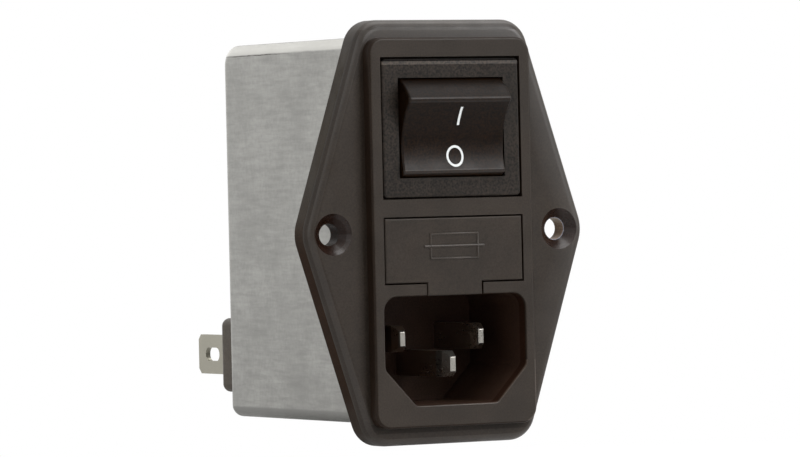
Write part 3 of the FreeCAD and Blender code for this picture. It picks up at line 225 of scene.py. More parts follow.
class Finish:
    """A material under construction, patterned in the object's own coordinates."""

    def __init__(self, name, colour, roughness, **settings):
        self.material = bpy.data.materials.new(name)
        self.material.use_nodes = True
        self.material.diffuse_color = (*colour, 1.0)
        self.tree = self.material.node_tree
        self.shader = self.tree.nodes["Principled BSDF"]
        self.shader.inputs["Base Color"].default_value = (*colour, 1.0)
        self.shader.inputs["Roughness"].default_value = roughness
        for title, setting in settings.items():
            title = title.replace("_", " ").title().replace("Ior", "IOR")
            self.shader.inputs[title].default_value = setting
        self.place = self.node("ShaderNodeTexCoord").outputs["Object"]
        self.relief = None

    def node(self, kind, sources=(), **settings):
        return add_node(self.tree, kind, sources, **settings)

    def colour(self, source):
        feed(self.shader.inputs["Base Color"], source)

    def roughness(self, source):
        feed(self.shader.inputs["Roughness"], source)

    def axis(self, letter):
        """One coordinate in millimetres."""
        parts = self.node("ShaderNodeSeparateXYZ", {"Vector": self.place})
        return self.math("MULTIPLY", parts.outputs[letter], 1.0 / MM)

    def stretched(self, x, y, z):
        """The coordinates with each axis scaled, for patterns that run one way."""
        return self.node("ShaderNodeMapping", {"Vector": self.place, "Scale": (x, y, z)}).outputs[0]

    def noise(self, size_mm, detail=2.0, roughness=0.5, place=None):
        """Soft random value whose blotches are about size_mm across."""
        return self.node("ShaderNodeTexNoise", {
            "Vector": place or self.place, "Scale": 1.0 / (size_mm * MM),
            "Detail": detail, "Roughness": roughness}).outputs["Fac"]

    def math(self, kind, first, second=0.0):
        return self.node("ShaderNodeMath", {0: first, 1: second}, operation=kind).outputs["Value"]

    def range(self, source, low, high, to_low, to_high):
        """Stretch the part of source between low and high over a new range, and hold the ends."""
        return self.node("ShaderNodeMapRange", {
            "Value": source, "From Min": low, "From Max": high,
            "To Min": to_low, "To Max": to_high}).outputs["Result"]

    def mix(self, share, first, second, kind="MIX"):
        """Blend two colours by a share."""
        return self.node("ShaderNodeMix", {"Factor": share, 6: first, 7: second},
                         data_type="RGBA", blend_type=kind).outputs[2]

    def bump(self, source, depth_mm):
        """Add relief. Several calls stack on each other."""
        sources = {"Strength": 1.0, "Distance": depth_mm * MM, "Height": source}
        if self.relief is not None:
            sources["Normal"] = self.relief
        self.relief = self.node("ShaderNodeBump", sources).outputs["Normal"]
        feed(self.shader.inputs["Normal"], self.relief)


def shade(colour, factor):
    """A colour made lighter or darker."""
    return tuple(min(1.0, part * factor) for part in colour[:3]) + (1.0,)


print("a mid grey at half its tone:", shade((0.5, 0.5, 0.5), 0.5))

# %% [markdown]
# ## Moulded black plastic
# The flange, the drawer, the bezel and the insulators are glass-filled nylon from a mould
# whose steel was spark-eroded. That leaves a very fine, even grain that scatters the
# light, a soft grey sheen, and faint paler and darker clouds where the melt flowed. A
# picture of grain could be wrapped round each piece, but it would show seams and stretch;
# noise read in the object's own space covers any shape evenly. The grain is relief: blotches
# of about a fifth of a millimetre, a few thousandths deep.

# %% Make the moulded plastic


def moulded(name, colour, roughness, grain_mm, depth_mm, clouds=0.14, grit=0.25,
            specular=0.25):
    """Grained plastic. Clouds and grit say how far the large and small blotches stray."""
    finish = Finish(name, colour, roughness, specular_ior_level=specular)
    cloud = finish.range(finish.noise(7.0, detail=3.0), 0.35, 0.65, 1.0 - clouds, 1.0 + clouds)
    speck = finish.range(finish.noise(grain_mm * 1.6), 0.3, 0.7, 1.0 - grit, 1.0 + grit)
    finish.colour(finish.mix(1.0, (*colour, 1.0), finish.math("MULTIPLY", cloud, speck),
                             "MULTIPLY"))
    flow = finish.noise(2.2, detail=4.0)
    finish.roughness(finish.range(flow, 0.3, 0.7, roughness - 0.05, roughness + 0.07))
    finish.bump(finish.noise(grain_mm, roughness=0.6), depth_mm)
    finish.bump(finish.noise(grain_mm * 9.0), depth_mm * 1.4)
    return finish


BLACK = (0.0225, 0.0163, 0.0118)
housing = moulded("moulded_black", BLACK, 0.42, 0.16, 0.006, specular=0.245)
print("housing plastic:", housing.material.name)

# %% [markdown]
# ## Regions of one moulding
# One moulding is not equally glossy all over, and here regions also carry painted light and
# shade: a painted highlight on the rim, painted shade on its sides and in the inlet's deep
# well, and shade and highlight in the countersinks, which are cut smooth. We could split the
# mesh and give each bit a material, but then the borders would follow the triangles.
# Instead a region is a number worked out from the coordinates, one inside and zero outside,
# and `change_inside` multiplies colour and sheen there.
# Regions are written in the part's own millimetres: x across, y into the panel, z up.

# %% Helpers for regions


def within(finish, source, low, high):
    """One where source lies between low and high, else zero."""
    near = finish.math("COMPARE", source, (low + high) / 2)
    near.node.inputs[2].default_value = (high - low) / 2
    return near


def fade(finish, source, start, end):
    """Zero up to start, one from end on, and a ramp between."""
    return finish.range(source, start, end, 0.0, 1.0)


def all_of(finish, first, *others):
    """One only where every region given is one."""
    for other in others:
        first = finish.math("MULTIPLY", first, other)
    return first


def block(finish, **sides):
    """One inside a block, whose low and high sides are given for x, y or z."""
    return all_of(finish, *(within(finish, finish.axis(letter.upper()), low, high)
                            for letter, (low, high) in sides.items()))


def change_inside(finish, inside, tone, sheen, roughness=1.0):
    """Multiply the colour, the sheen and the roughness where inside is one."""
    if not isinstance(tone, tuple):
        tone = (tone,) * 3
    colour, level, rough = (finish.shader.inputs[title] for title in
                            ("Base Color", "Specular IOR Level", "Roughness"))
    plain = colour.links[0].from_socket
    changed = finish.mix(1.0, plain, (*tone, 1.0), "MULTIPLY")
    finish.colour(finish.mix(inside, plain, changed))
    before = level.links[0].from_socket if level.links else level.default_value
    feed(level, finish.math("MULTIPLY", finish.range(inside, 0.0, 1.0, 1.0, sheen), before))
    finish.roughness(finish.math("MULTIPLY", finish.range(inside, 0.0, 1.0, 1.0, roughness),
                                 rough.links[0].from_socket))


FLANGE_FRONT = -4.0
BOSS_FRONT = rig.box("front_housing")[0].y / MM
HALF_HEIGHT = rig.box("front_housing")[1].z / MM
across, up = (housing.axis(letter) for letter in "XZ")
outwards = housing.math("ABSOLUTE", across)
print("boss front at y", round(BOSS_FRONT, 3), "mm, flange top at z", round(HALF_HEIGHT, 3), "mm")

# %% [markdown]
# ## The inlet's well and the sides
# A plug goes into the well, which is deep, so little light comes back from it. The well is
# tinted warmer and has less sheen, as painted shade. Its lower part lies open to the lamps
# and is painted paler, as painted light, and the edge at its mouth gets a painted highlight
# at the bottom right. The side of the boss and the thin side of the flange get painted
# shade, the flange's side darker and browner below. Real shade does much of this by
# itself; the regions add painted light and shade on top.

# %% Paint shade and light in the well and on the sides
WELL_HALF_WIDTH = 12.6
WELL_BACK = 14.0
WELL_TOP, WELL_BOTTOM = -8.0, -29.5
WELL_PAINTED_LIGHT = (-19.0, -27.0)
MOUTH_DEPTH = 0.3
well = block(housing, x=(-WELL_HALF_WIDTH, WELL_HALF_WIDTH),
             y=(BOSS_FRONT + MOUTH_DEPTH, WELL_BACK), z=(WELL_BOTTOM, WELL_TOP))
# Painted shade: the well is tinted warmer and loses sheen.
change_inside(housing, well, (1.30, 0.95, 0.90), 0.35)
# Painted light on the well's lower part.
change_inside(housing, all_of(housing, well, fade(housing, up, *WELL_PAINTED_LIGHT)),
              (1.7, 1.8, 1.8), 1.6)
# Painted highlight on the edge of the mouth, stronger to the right.
mouth_highlight = block(housing, y=(BOSS_FRONT + 0.02, BOSS_FRONT + MOUTH_DEPTH),
              z=(WELL_BOTTOM + 0.2, -20.0))
change_inside(housing, all_of(housing, mouth_highlight, fade(housing, across, -9.0, 2.0)), 2.2, 2.2)

# Painted shade on the side of the boss and on the flange's thin side, more below.
boss_side_shade = block(housing, y=(BOSS_FRONT + 0.04, FLANGE_FRONT - 0.03))
change_inside(housing, boss_side_shade, (0.7, 0.6, 0.55), 0.4)
flange_side_shade = all_of(housing, block(housing, y=(FLANGE_FRONT + 1.5, -0.05)),
                     fade(housing, outwards, 13.0, 17.0))
change_inside(housing, flange_side_shade, (1.0, 0.9, 0.6), 0.32)
change_inside(housing, all_of(housing, flange_side_shade, fade(housing, up, 5.0, -3.0)),
              (0.9, 0.63, 0.58), 0.3)
print("well region:", WELL_HALF_WIDTH * 2, "x", WELL_TOP - WELL_BOTTOM, "mm")

# %% [markdown]
# ## The screw holes
# Two countersunk holes take the screws. The cutter leaves the cones smoother than the
# moulded face. Their colour gets painted shade, darkest above, and more sheen below gives a
# painted highlight where they look up at the lamps. A hole is a circle seen from the front,
# so its region is a squared distance from the hole's axis, and since the part's left and
# right match, one distance serves both. Light from behind also glances off the right bore,
# and we paint that bore pale as painted light.

# %% Smooth the countersinks and paint their shade and highlight
HOLE_PLACE = 20.0
CONE_RADIUS = 3.3
BORE_RADIUS = 1.76
BORE_PAINTED_LIGHT = (20.0, 44.5, 82.0)
UPPER_CONE_SHADE, LOWER_CONE_HIGHLIGHT = (-1.6, -0.6), (-1.0, -1.8)
beside = housing.math("SUBTRACT", outwards, HOLE_PLACE)
spread = housing.math("ADD", housing.math("MULTIPLY", beside, beside),
                      housing.math("MULTIPLY", up, up))
depth = block(housing, y=(FLANGE_FRONT + 0.03, -0.02))
cone, bore = (all_of(housing, within(housing, spread, 0.0, radius ** 2), depth)
              for radius in (CONE_RADIUS, BORE_RADIUS))
# Painted shade in the cones, darker above, and a painted highlight from more sheen below.
change_inside(housing, cone, (0.7, 0.45, 0.40), 1.1, roughness=0.6)
change_inside(housing, all_of(housing, cone, fade(housing, up, *UPPER_CONE_SHADE)), 0.8, 0.55)
change_inside(housing, all_of(housing, cone, fade(housing, up, *LOWER_CONE_HIGHLIGHT)), 1.0, 1.35)
# The regions above have darkened the bore, its blue most, so this painted light has to be strong.
change_inside(housing, all_of(housing, bore, fade(housing, across, 0.0, 1.0)), BORE_PAINTED_LIGHT, 1.0)
print("holes at x", -HOLE_PLACE, "and", HOLE_PLACE, "mm")

# %% [markdown]
# ## The flange's rims
# The flange is six-sided, with a wide rounding all round its front. The rounding and the
# strip next to it get a painted highlight, from more sheen and a lighter tone, and bands on
# the top rounding get painted light and shade. We could brighten the rim with one more
# lamp, but that would wash out the can. Two distances describe the outline: how far a point
# lies out towards a slanted side, and how far up or down. `leaning` makes the painted
# highlight grow smoothly towards the top right, where the lamps hang, so that no border
# shows. A strip under the boss gets painted shade instead.

# %% Paint highlights and shade on the rims
ROUNDING = 1.6
FLANGE_SLANT = math.radians(18.0)
RIM_SLANT, RIM_UPRIGHT = (18.6, 22.1), (28.4, 29.5)
upright = housing.math("ABSOLUTE", up)
slant = housing.math("ADD", housing.math("MULTIPLY", outwards, math.cos(FLANGE_SLANT)),
                     housing.math("MULTIPLY", upright, math.sin(FLANGE_SLANT)))
rim = housing.math("MAXIMUM", fade(housing, slant, *RIM_SLANT),
                   fade(housing, upright, *RIM_UPRIGHT))
FACE_SIDES = (FLANGE_FRONT - 0.03, FLANGE_FRONT + 0.07)
front_rim_highlight = all_of(housing, rim, block(housing, y=FACE_SIDES))
rounding = block(housing, y=(FACE_SIDES[1], FLANGE_FRONT + ROUNDING))


def leaning(base, per_x, per_z):
    """A weight that grows to the right and upwards, held between zero and one."""
    grown = housing.math("ADD", housing.math("MULTIPLY", across, per_x),
                         housing.math("MULTIPLY", up, per_z))
    return fade(housing, housing.math("ADD", grown, base), 0.0, 1.0)


# Painted highlights: each row is a region, a weight, a tone and a sheen.
for region, weight, tone, sheen in (
        (front_rim_highlight, leaning(0.10, 0.014, 0.012), 1.0, 3.4),
        (front_rim_highlight, fade(housing, up, *RIM_UPRIGHT), 1.1, 1.5),
        (rounding, leaning(0.06, 0.010, 0.010), 1.0, 3.4),
        (rounding, fade(housing, up, -30.6, -32.0), 1.1, 2.3),
        (block(housing, y=(FLANGE_FRONT + 0.05, FLANGE_FRONT + 0.6)),
         fade(housing, across, -13.0, -15.0), 1.0, 1.65)):
    change_inside(housing, all_of(housing, region, weight), tone, sheen)
# Painted shade on the strip under the boss.
shaded_strip = block(housing, y=FACE_SIDES, z=(-30.5, -29.0))
change_inside(housing, shaded_strip, 0.7, 0.7)

# Behind the face, how far back each band of painted light and shade on the top rounding
# starts and ends, in mm, then its tone and its sheen.
TOP_PAINTED_BANDS = ((-0.03, 0.02, 0.86, 0.75), (0.02, 0.12, 0.76, 0.5),
             (0.12, 0.28, 0.9, 0.68), (0.40, ROUNDING, 1.2, 1.3))
for start, end, tone, sheen in TOP_PAINTED_BANDS:
    band = block(housing, y=(FLANGE_FRONT + start, FLANGE_FRONT + end),
                 z=(HALF_HEIGHT - 1.55, HALF_HEIGHT + 0.55))
    change_inside(housing, band, tone, sheen)
print("bands on the top rounding:", len(TOP_PAINTED_BANDS))

# %% [markdown]
# ## The drawer, the bezel and the insulators
# The other black pieces come from moulds of their own. The drawer matches the flange but
# is a touch duller, the bezel's grain is coarser and darker, and the blades' insulators
# are a paler, browner plastic. The bezel's upper edge has a small chamfer that catches
# light, with a dark line of shade above it. We could model that hair-thin edge, but two
# narrow bands of tone say the same and stay crisp at any size.

# %% Make the other mouldings
drawer_plastic = moulded("moulded_black_drawer", BLACK, 0.46, 0.15, 0.005, specular=0.225)
bush_plastic = moulded("moulded_insulator", (0.048, 0.036, 0.023), 0.42, 0.2, 0.004)
cream_plastic = moulded("cream_plunger", (0.75, 0.70, 0.58), 0.45, 0.2, 0.002, clouds=0.04,
                        grit=0.03, specular=0.5)
bezel_plastic = moulded("moulded_black_bezel", shade(BLACK, 0.6)[:3], 0.42, 0.22, 0.010,
                        grit=0.8, specular=0.20)
bezel_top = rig.box("switch_body")[1].z / MM
# How far below the top each band starts and ends, in mm, then its tone and sheen: painted shade above a painted
# highlight.
for start, end, tone in ((0.0, 0.45, 0.25), (0.45, 0.95, 2.6)):
    band = block(bezel_plastic, z=(bezel_top - end, bezel_top - start))
    change_inside(bezel_plastic, band, tone, tone)
print("bezel top at z", round(bezel_top, 2), "mm")

# %% [markdown]
# ## The rocker
# The rocker is the blackest piece: a hard, dense plastic that a thumb presses. It is
# hollowed along its length, so two ridges cross it, one at each end of the hollow. The
# ridges and the lower end get a painted highlight, while the end that stands out, turned
# from the lamps, gets painted shade. Again a few regions, in the piece's own space, paint
# that, and they tip with it.

# %% Make the rocker's plastic and paint its light and shade
rocker_plastic = moulded("rocker_black", (0.0062, 0.0026, 0.0008), 0.36, 0.20, 0.008,
                         clouds=0.08, grit=0.8, specular=0.10)
rocker_up = rocker_plastic.axis("Z")
# Painted shade on the upper end, painted highlight on the lower end.
change_inside(rocker_plastic, fade(rocker_plastic, rocker_up, 21.2, 23.3), 0.7, 0.35)
change_inside(rocker_plastic, fade(rocker_plastic, rocker_up, 14.4, 12.6), 1.3, 1.6)
UPPER_RIDGE = {"y": (-9.4, -8.4), "z": (19.7, 20.5)}
LOWER_RIDGE = {"y": (-7.0, -6.0), "z": (8.6, 9.5)}
# Painted highlights on both ridges.
for ridge in (UPPER_RIDGE, LOWER_RIDGE):
    change_inside(rocker_plastic, block(rocker_plastic, **ridge), 1.3, 2.1)
print("rocker ridges at z", UPPER_RIDGE["z"], "and", LOWER_RIDGE["z"], "mm")

# %% [markdown]
# ## Plated sheet steel
# The can, the tabs and the pins are thin plated metal. Rolling leaves hair-fine lines along
# the sheet, plating dulls them, and handling adds small smudges. An anisotropic shader
# could fake the lines, but then they would have no place on the sheet. Two noises, each
# stretched its own way, give the woven look of the rolled skin and steer colour,
# roughness and a relief of about a thousandth of a millimetre.

# %% Make the sheet metals


def sheet_metal(name, colour, roughness, grain, cross_grain, contrast=0.06, relief_mm=0.0025,
                patches=0.0, metallic=1.0):
    """Rolled metal. Grain and cross_grain scale the axes, less along each noise's lines."""
    finish = Finish(name, colour, roughness, metallic=metallic)
    lengthwise = finish.noise(0.35, detail=3.0, place=finish.stretched(*grain))
    crosswise = finish.noise(0.3, detail=3.0, place=finish.stretched(*cross_grain))
    weave = finish.math("ADD", lengthwise, crosswise)
    smudge = finish.noise(9.0, detail=5.0, roughness=0.6)
    tone = finish.mix(finish.range(weave, 0.75, 1.25, 0.0, 1.0),
                      shade(colour, 1.0 - contrast), shade(colour, 1.0 + contrast))
    skin = finish.mix(finish.range(smudge, 0.45, 0.75, 0.0, 0.6), tone,
                      shade(colour, 1.0 - 2.0 * contrast))
    if patches:
        blotch = finish.noise(0.9, detail=4.0, roughness=0.65, place=finish.stretched(1, 0.16, 1))
        patch = finish.range(blotch, 0.3, 0.7, 1.0 - patches, 1.0 + patches)
        skin = finish.mix(1.0, skin, patch, "MULTIPLY")
    finish.colour(skin)
    finish.roughness(finish.range(finish.math("ADD", weave, smudge), 1.1, 1.9,
                                  roughness - 0.06, roughness + 0.08))
    if relief_mm:
        finish.bump(weave, relief_mm)
    return finish


tab_metal = sheet_metal("tinned_brass", (0.365, 0.350, 0.294), 0.40, (1, 0.2, 1), (1, 1, 1))
strip_metal = sheet_metal("plated_strip", (0.45, 0.45, 0.44), 0.4, (1, 1, 0.2), (1, 0.2, 1))
bronze_metal = sheet_metal("spring_bronze", (0.60, 0.42, 0.22), 0.3, (1, 0.2, 1), (1, 1, 0.2))
spring_steel = sheet_metal("spring_steel", (0.45, 0.45, 0.46), 0.25, (1, 1, 1), (1, 1, 1))
print("metals:", tab_metal.material.name, strip_metal.material.name,
      bronze_metal.material.name, spring_steel.material.name)

# %% [markdown]
# ## The can's bends
# The can is pressed from one sheet, so its long edges are bends and not sharp corners.
# The upper bend gets a painted highlight and the lower one, turned away from the light,
# painted shade. Where the upper bend begins a fine dark line runs, fading towards the front.
# The bends' shape is in the CAD model already. Their tone follows height alone, so a ramp
# in z paints all sides at once, and a little noise keeps the border from looking ruled.

# %% Paint the can
PLATED = (0.340, 0.338, 0.322)
# The bends' radius and the width of the line, in mm.
CAN_BEND = 1.8
LINE_WIDTH = 0.14
can_low, can_high = (corner.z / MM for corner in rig.box("shield_can"))
can_steel = sheet_metal("plated_steel", PLATED, 0.46, (1, 0.1, 1), (1, 0.5, 0.35),
                        contrast=0.11, relief_mm=0.001, patches=0.10)


def paint_bend_light_and_line(finish, colour, low_bend, high_bend, line_start, line_end):
    """Painted highlight on the upper bend, painted shade on the lower, and a dark line at the upper bend."""
    skin = finish.shader.inputs["Base Color"].links[0].from_socket
    wander = finish.range(finish.noise(3.0), 0.3, 0.7, -0.04, 0.04)
    level = finish.math("ADD", finish.axis("Z"), wander)
    flat_top = high_bend + CAN_BEND - 0.15
    # Painted highlight on the upper bend, painted shade on the lower one.
    for start, end, tone in ((high_bend, high_bend + 0.25, 1.85),
                             (low_bend, low_bend - 0.25, 0.76),
                             (flat_top, flat_top + 0.10, 0.95)):
        skin = finish.mix(finish.range(level, start, end, 0.0, 0.85), skin, shade(colour, tone))
    line = within(finish, level, high_bend - LINE_WIDTH / 2, high_bend + LINE_WIDTH / 2)
    patchy = finish.range(finish.noise(2.0), 0.35, 0.6, 0.4, 1.0)
    mark = all_of(finish, line, fade(finish, finish.axis("Y"), line_start, line_end), patchy)
    finish.colour(finish.mix(mark, skin, (0.06, 0.055, 0.05, 1.0)))


paint_bend_light_and_line(can_steel, PLATED, can_low + CAN_BEND, can_high - CAN_BEND, 18.0, 26.0)
print("can from z", round(can_low, 2), "to", round(can_high, 2), "mm")

# %% [markdown]
# ## The contact pins
# The three pins are nickel-plated and smooth. Their flat tips face the room and shine,
# while the shanks stand in the well and look brown and dark. Clean metal mirrors the dark
# well by itself; a warmer, duller tone behind the tips adds painted shade, brown like the
# well. One ramp along the pin paints it, so no mesh has to be cut.

# %% Make the pins' metal
pin_metal = sheet_metal("nickel_plate", (0.36, 0.345, 0.315), 0.3, (1, 0.1, 1), (1, 1, 1),
                        contrast=0.03, relief_mm=0.0, metallic=0.965)
pin_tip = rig.box("line_pin")[0].y / MM
# Painted shade on the shanks, warmer and duller behind the tips.
shank_shade = fade(pin_metal, pin_metal.axis("Y"), pin_tip + 0.1, pin_tip + 0.6)
change_inside(pin_metal, shank_shade, (0.97, 0.78, 0.66), 0.7)
print("pin tips at y", round(pin_tip, 2), "mm")

# %% [markdown]
# ## The parts inside
# Behind the flange sit fuses, a switch's works and a filter board. A closed can hides
# most of them, but the drawer opens, so the fuses are seen. Glass gets real
# transmission, since a grey see-through colour would not bend what lies behind it; the
# windings are enamelled copper, which is metal under a clear coat; the board is green
# laminate with paler tracks under its lacquer, drawn by the edges of random cells.

# %% Make the glass, the copper and the board
glass = Finish("fuse_glass", (0.95, 0.97, 0.97), 0.03, transmission_weight=1.0, ior=1.5)
glass.bump(glass.noise(1.5), 0.004)

enamel = Finish("enamelled_copper", (0.55, 0.23, 0.09), 0.28, metallic=0.9, coat_weight=0.6,
                coat_roughness=0.1)
enamel.colour(enamel.mix(enamel.range(enamel.noise(1.2), 0.3, 0.7, 0.0, 1.0),
                         (0.45, 0.17, 0.06, 1.0), (0.62, 0.28, 0.11, 1.0)))

board = Finish("board_laminate", (0.03, 0.14, 0.06), 0.35, coat_weight=0.3)
TRACK_MM = 3.4
cells = board.node("ShaderNodeTexVoronoi", {"Vector": board.place,
                                            "Scale": 1.0 / (TRACK_MM * MM)},
                   feature="DISTANCE_TO_EDGE")
tracks = board.range(cells.outputs["Distance"], 0.10, 0.12, 0.0, 1.0)
board.colour(board.mix(tracks, (0.018, 0.085, 0.035, 1.0), (0.045, 0.19, 0.08, 1.0)))
board.roughness(board.range(board.noise(0.4, detail=1.0), 0.3, 0.7, 0.3, 0.42))
board.bump(tracks, 0.03)
print("inner finishes:", glass.material.name, enamel.material.name, board.material.name)

# %% [markdown]
# ## The board's components
# A film capacitor sits in a yellow box, two small ones are dipped in blue lacquer, the
# choke's core is powder-coated green and the resistor is tan with two dark red bands. All
# are a colour with soft clouds and lumps under a thin clear layer, so one function makes
# them, and only the resistor gets its bands on top.

# %% Make the coatings


def coated(name, colour, roughness, lump_mm, depth_mm):
    """A dipped or moulded coating: clouded colour under a thin clear layer."""
    finish = Finish(name, colour, roughness, coat_weight=0.3)
    cloud = finish.noise(lump_mm, detail=3.0)
    finish.colour(finish.mix(cloud, shade(colour, 0.88), shade(colour, 1.12)))
    finish.roughness(finish.range(cloud, 0.3, 0.7, roughness - 0.05, roughness + 0.08))
    finish.bump(cloud, depth_mm)
    return finish


TAN = (0.60, 0.45, 0.28)
# The two bands' distance from the middle and their width, in mm.
BAND_PLACE = 1.4
BAND_WIDTH = 0.7
capacitor_box = coated("capacitor_yellow", (0.72, 0.48, 0.05), 0.35, 2.5, 0.01)
capacitor_dip = coated("capacitor_blue", (0.04, 0.15, 0.42), 0.28, 3.0, 0.06)
core_coat = coated("core_green", (0.05, 0.23, 0.11), 0.4, 0.8, 0.03)
resistor = coated("resistor_tan", TAN, 0.4, 1.0, 0.02)
from_middle = resistor.math("ABSOLUTE", resistor.axis("X"))
in_band = within(resistor, from_middle, BAND_PLACE - BAND_WIDTH / 2, BAND_PLACE + BAND_WIDTH / 2)
resistor.colour(resistor.mix(in_band, (*TAN, 1.0), (0.35, 0.08, 0.03, 1.0)))
print("coatings:", capacitor_box.material.name, capacitor_dip.material.name,
      core_coat.material.name, resistor.material.name)

# %% [markdown]
# ## Dressing the CAD pieces
# The CAD solids already have the right shapes, so they stay, and each only gets its
# finish. We could name all 44 pieces one by one. One table by the start of the piece's
# name is shorter, and a left and a right piece share a line. The loop stops us if a piece
# is missed.

# %% Give every piece its finish
DRESS = (
    ("front_housing", housing), ("fuse_drawer", drawer_plastic),
    ("switch_body", bezel_plastic), ("rocker", rocker_plastic), ("tab_bush", bush_plastic),
    ("shield_can", can_steel), ("earth_strap", strip_metal), ("earth_rivet", strip_metal),
    ("strap_rivet", strip_metal), ("neutral_tab", tab_metal), ("line_tab", tab_metal),
    ("earth_tab", tab_metal), ("common_terminal", tab_metal), ("load_terminal", tab_metal),
    ("line_pin", pin_metal), ("neutral_pin", pin_metal), ("earth_pin", pin_metal),
    ("fuse_cap", pin_metal), ("spare_fuse_cap", pin_metal), ("fuse_clip", bronze_metal),
    ("contact_arm", bronze_metal), ("plunger_spring", spring_steel),
    ("plunger", cream_plastic), ("fuse_glass", glass), ("spare_fuse_glass", glass),
    ("fuse_wire", tab_metal), ("spare_fuse_wire", tab_metal), ("choke_winding", enamel),
    ("choke_core", core_coat), ("circuit_board", board), ("x_capacitor", capacitor_box),
    ("y_capacitor", capacitor_dip), ("bleed_resistor", resistor),
)
for name, node in frame["nodes"].items():
    chosen = next(finish for start, finish in DRESS if name.startswith(start))
    node.data.materials.clear()
    node.data.materials.append(chosen.material)
print("dressed", len(frame["nodes"]), "CAD pieces")

# %% [markdown]
# ## Building with Geometry Nodes
# Some details follow a rule: a coil winds round an axis, a printed stroke follows a path
# over a curved face. We could compute every point in a loop, but a Geometry Nodes tree
# states the rule once, with its sizes as named inputs, and can be opened and changed in
# the editor. Two helpers keep this short. `Tree` starts a node group and its inputs, and
# `harvest` runs it on an empty object and keeps the result as a plain mesh.

# %% Helpers for trees


class Tree:
    """A Geometry Nodes tree whose inputs are named sizes."""

    def __init__(self, name, **inputs):
        self.group = bpy.data.node_groups.new(name, "GeometryNodeTree")
        self.group.interface.new_socket("Geometry", in_out="OUTPUT",
                                        socket_type="NodeSocketGeometry")
        self.identifiers = {}
        for title, kind in inputs.items():
            socket = self.group.interface.new_socket(title, in_out="INPUT",
                                                     socket_type="NodeSocket" + kind)
            self.identifiers[title] = socket.identifier
        self.inputs = self.node("NodeGroupInput").outputs

    def node(self, kind, sources=(), **settings):
        return add_node(self.group, kind, sources, **settings)

    def vector_math(self, kind, first, second):
        return self.node("ShaderNodeVectorMath", {0: first, 1: second}, operation=kind).outputs[0]

    def finish(self, geometry, material):
        """Make instances real, set the material and close the tree."""
        real = self.node("GeometryNodeRealizeInstances", {"Geometry": geometry})
        dressed = self.node("GeometryNodeSetMaterial",
                            {"Geometry": real.outputs[0], "Material": material})
        self.node("NodeGroupOutput", {0: dressed.outputs[0]})


def harvest(name, tree, **sizes):
    """Run a tree with these sizes and keep its result as a plain mesh object."""
    piece = bpy.data.objects.new(name, bpy.data.meshes.new(name + "_seed"))
    scene.collection.objects.link(piece)
    step = piece.modifiers.new("tree", "NODES")
    step.node_group = tree.group
    for title, size in sizes.items():
        step[tree.identifiers[title]] = size
    graph = bpy.context.evaluated_depsgraph_get()
    mesh = bpy.data.meshes.new_from_object(piece.evaluated_get(graph), depsgraph=graph)
    piece.modifiers.remove(step)
    piece.data = mesh
    mesh.name = name
    mesh.shade_smooth()
    print(f"{name}: {len(mesh.polygons)} faces")
    return piece


print("tree helpers:", Tree.__name__, harvest.__name__)

# %% [markdown]
# ## The springs under the rocker
# Each plunger is pushed by a round-wire coil spring. In the CAD model a six-sided wire
# stands for it, which would look faceted up close. A coil is the plainest rule there is: a
# spiral with a round section. We make it along +Z at the origin, then turn it onto the
# hub's axis, tipped with the rocker. Its sizes come from the box of the piece it replaces.

# %% Wind the plunger springs
ROCKER_TILT = math.radians(12.0)
SPRING_TURNS = 4.0
SPRING_WIRE = 0.35 * MM
coil = Tree("coil_spring", Radius="Float", Length="Float", Turns="Float", Wire="Float")
spiral = coil.node("GeometryNodeCurveSpiral", {
    "Resolution": 24, "Rotations": coil.inputs["Turns"], "Start Radius": coil.inputs["Radius"],
    "End Radius": coil.inputs["Radius"], "Height": coil.inputs["Length"]})
section = coil.node("GeometryNodeCurvePrimitiveCircle", {"Resolution": 10,
                                                         "Radius": coil.inputs["Wire"]})
wound = coil.node("GeometryNodeCurveToMesh", {
    "Curve": spiral.outputs[0], "Profile Curve": section.outputs[0], "Fill Caps": True})
coil.finish(wound.outputs[0], spring_steel.material)

plunger_axis = Vector((0, math.cos(ROCKER_TILT), -math.sin(ROCKER_TILT)))
turn = plunger_axis.to_track_quat("Z", "Y").to_matrix().to_4x4()
for side in ("left", "right"):
    node = "plunger_spring_" + side
    low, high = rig.box(node)
    radius = (high.x - low.x) / 2 - SPRING_WIRE / 2
    span = (high.y - low.y) - 2 * radius * math.sin(ROCKER_TILT) - SPRING_WIRE
    length = span / math.cos(ROCKER_TILT) - SPRING_WIRE
    spring = harvest("coil_" + node, coil, Radius=radius, Length=length, Turns=SPRING_TURNS,
                     Wire=SPRING_WIRE / 2)
    spring.data.transform(Matrix.Translation((low + high) / 2) @ turn
                          @ Matrix.Translation((0, 0, -length / 2)))
    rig.ride(spring, "rocker")
    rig.replaces(spring, node)
    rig.slot(spring, "spring_steel")

# %% [markdown]
# ## The printed marks
# A white I and O are printed on the rocker, which is hollowed along its length. A flat
# picture would need its own coordinates on the curved face. Instead each stroke is drawn
# flat in front of the rocker as a narrow ribbon, and every point is cast onto the face
# with a Raycast node, then lifted by a hair, as thick as paint. A straight bar makes the
# I and an upright oval makes the O.

# %% Draw a stroke that lies on the rocker
PAINT_LIFT = 0.02 * MM
ink = Finish("white_print", (0.66, 0.68, 0.68), 0.5, specular_ior_level=0.3)
ink.roughness(ink.range(ink.noise(0.3), 0.3, 0.7, 0.42, 0.58))
ink.bump(ink.noise(0.12), 0.002)

